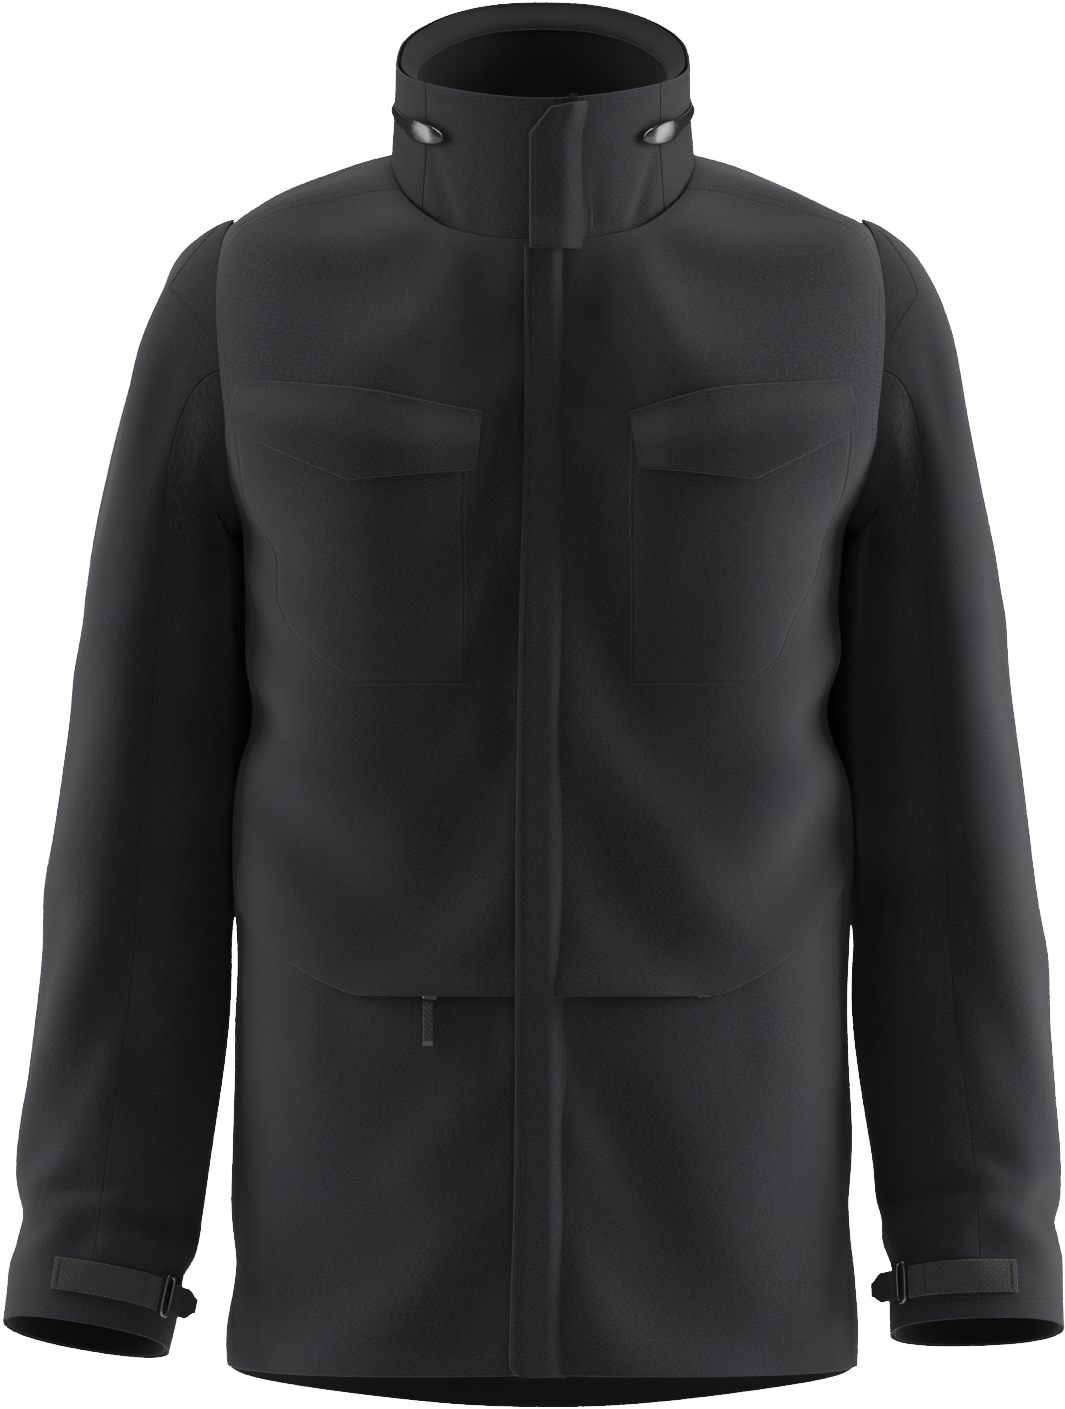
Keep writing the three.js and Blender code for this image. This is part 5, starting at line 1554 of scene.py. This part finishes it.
for hand, side in (("right", -1), ("left", 1)):
    start, end, slider_at = MOUTHS[side]
    cx, cy, r = circle_through(*(bare_front(side * x, ZIP_LEVEL) for x in (start, (start + end) / 2, end)))
    bearing = {}
    for x in (start, end, slider_at):
        bearing[x] = math.atan2(side * x - cx, cy - bare_front(side * x, ZIP_LEVEL)[1])

    def on_circle(a, radius, z, cx=cx, cy=cy):
        a, radius, z = np.broadcast_arrays(*(np.asarray(k, float) for k in (a, radius, z)))
        flat = np.stack([np.sin(a), -np.cos(a), 0 * a], -1)
        return np.stack([cx + radius * np.sin(a), cy - radius * np.cos(a), z], -1), flat

    def tape(s, t, on_circle=on_circle, bearing=bearing, start=start, end=end, r=r):
        return on_circle(mix(bearing[start], bearing[end], s), r - 3.2, ZIP_LEVEL + mix(-9, 9, t))

    piece = cloth_panel("waist_zip_" + hand, tape, 100, 18, 2.5, 0.0, 0.8, 0.5, [zip_tape, zip_tape])
    sewn_to(piece, "jacket", "zip_tape", "waist_zip_" + hand)
    cut_sheet(piece)
    a = np.linspace(bearing[start], bearing[end], 46)[1:-1]
    place, flat = on_circle(a, r - 2.6, ZIP_LEVEL)
    ahead = np.stack([np.cos(a), np.sin(a), 0 * a], -1)
    teeth(
        "waist_zip_teeth_" + hand, place, np.repeat([[0, 0, 1.0]], len(a), 0), ahead, flat, (3.6, 1.1, 1.0),
        "jacket"
    )

    def runner(s, t, on_circle=on_circle, at=bearing[slider_at], r=r):
        return on_circle(at + mix(-4.5, 4.5, s) / r, r - 1.6, ZIP_LEVEL + mix(-2.3, 2.0, t))

    piece = cloth_panel(
        "waist_zip_slider_" + hand, runner, 9, 4.3, 0.8, 0.0, 1.3, 0.8, [buckle_metal, buckle_metal]
    )
    del piece["cut_area"]
    sewn_to(piece, "waist_slider_" + hand, "metal", "waist_zip_slider_" + hand)
    if side < 0:
        at = bearing[slider_at]
        across = np.array([math.cos(at), math.sin(at), 0])
        away = np.array([math.sin(at), -math.cos(at), 0])

        def ribbon(s, t, cx=cx, cy=cy, r=r, across=across, away=away):
            centre = np.array([cx, cy, 0]) + away * (r + 3.9)
            x, z = mix(-3.0, 3.0, s), mix(240.6, 266.3, t)
            p = centre + x[..., None] * across + z[..., None] * np.array([0, 0, 1.0])
            return p, np.broadcast_to(away, p.shape)

        def ribbed(s, t):
            return 0.16 * np.sin(t * 2 * np.pi * 17)

        piece = cloth_panel("waist_zip_tab", ribbon, 6, 26, 0.42, ribbed, 1.3, 0.7, [webbing, webbing])
        sewn_to(piece, "waist_tab", "webbing", "waist_zip_tab")
        del piece["cut_area"]
        tip = np.array([cx, cy, 0]) + away * (r + 3.9)
        places = [(x, y, z) for x in (-3.2, 3.2) for y in (-0.95, 0.95) for z in (239.6, 242.6)]
        corners = [tip + across * x + away * y + np.array([0, 0, z]) for x, y, z in places]
        solid("waist_tab_end", np.array(corners), BOX_FACES, buckle_metal, "waist_tab", (), False)

# ---------------------------------------------------------------- metal fittings left as turned
# Press studs, sockets, the front slider and its pull keep their own shapes and take the dark metal; the
# hanger loop is laid again in webbing.
for node in ("front_slider", "front_pull", "front_stud_1", "front_stud_2", "front_stud_3", "front_stud_4",
             "flap_socket_1", "flap_socket_2", "flap_socket_3", "flap_socket_4"):
    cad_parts[node].data.materials.clear()
    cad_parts[node].data.materials.append(buckle_metal)


def loop_place(s, t):
    x = mix(-26.0, 26.0, s)
    fall = np.clip((np.abs(x) - 14) / 11.3, 0, 1)
    z = 0.7 - 14 * fall**2.2
    y = mix(-3.0, 3.0, t)
    p = np.stack([x, 54 + y, 812 + z], -1)
    n = np.stack([np.sign(x) * fall * 0.9, 0 * x, 1 - 0.5 * fall], -1)
    return p, n / np.linalg.norm(n, axis=-1, keepdims=True)


piece = cloth_panel("hanger_loop", loop_place, 62, 6, 1.2, 0.0, 1.3, 0.6, [webbing, webbing])
sewn_to(piece, "jacket", "webbing", "hanger_loop")
del piece["cut_area"]

# ---------------------------------------------------------------- studio
floor_mesh = bpy.data.meshes.new("floor")
floor_mesh.from_pydata([(-5, -7, 0), (5, -7, 0), (5, 2.6, 0), (-5, 2.6, 0)], [], [(0, 1, 2, 3)])
floor = bpy.data.objects.new("floor", floor_mesh)
floor.location = (0, 0, -1.06)
bpy.context.scene.collection.objects.link(floor)
paper = bpy.data.materials.new("pale_floor")
paper.use_nodes = True
paper.node_tree.nodes["Principled BSDF"].inputs["Base Color"].default_value = (0.86, 0.86, 0.86, 1)
paper.node_tree.nodes["Principled BSDF"].inputs["Roughness"].default_value = 0.9
floor_mesh.materials.append(paper)

world = bpy.data.worlds.new("studio")
world.use_nodes = True
tree = world.node_tree
room = tree.nodes["Background"]
room.inputs[0].default_value = (1, 1, 1, 1)
room.inputs[1].default_value = 0.06
sweep = joined(tree, "ShaderNodeBackground", _0=(1, 1, 1, 1), _1=40.0)
seen = joined(tree, "ShaderNodeLightPath")
choice = joined(
    tree, "ShaderNodeMixShader",
    [(0, seen.outputs["Is Camera Ray"]), (1, room.outputs[0]), (2, sweep.outputs[0])]
)
tree.links.new(choice.outputs[0], tree.nodes["World Output"].inputs[0])
bpy.context.scene.world = world


def softbox(name, place, aim, width, height, power):
    data = bpy.data.lights.new(name, "AREA")
    data.shape = "RECTANGLE"
    data.size, data.size_y, data.energy = width, height, power
    obj = bpy.data.objects.new(name, data)
    obj.location = place
    away = np.array(place, float) - np.array(aim, float)
    lean = math.atan2(math.hypot(away[0], away[1]), away[2])
    obj.rotation_euler = (lean, 0, math.atan2(away[1], away[0]) + math.pi / 2)
    bpy.context.scene.collection.objects.link(obj)


softbox("left_box", (-2.6, -0.2, 0.2), (0, 0, -0.4), 1.0, 2.2, 76)
softbox("right_box", (2.6, -0.15, 0.2), (0, 0, -0.4), 1.0, 2.2, 114)
softbox("top_box", (0, -0.2, 2.3), (0, 0, -0.2), 0.9, 0.5, 64)
softbox("front_box", (-0.4, -3.2, 0.7), (0, 0, -0.4), 1.6, 1.6, 11)

camera_data = bpy.data.cameras.new("camera")
camera_data.sensor_fit = "VERTICAL"
camera_data.sensor_height = 24
camera_data.lens = 24 * 5000 / 873.6
camera = bpy.data.objects.new("camera", camera_data)
camera.location = to_frame((-6.5, -5000, 446.2))
camera.rotation_euler = (math.pi / 2, 0, 0)
bpy.context.scene.collection.objects.link(camera)
bpy.context.scene.camera = camera
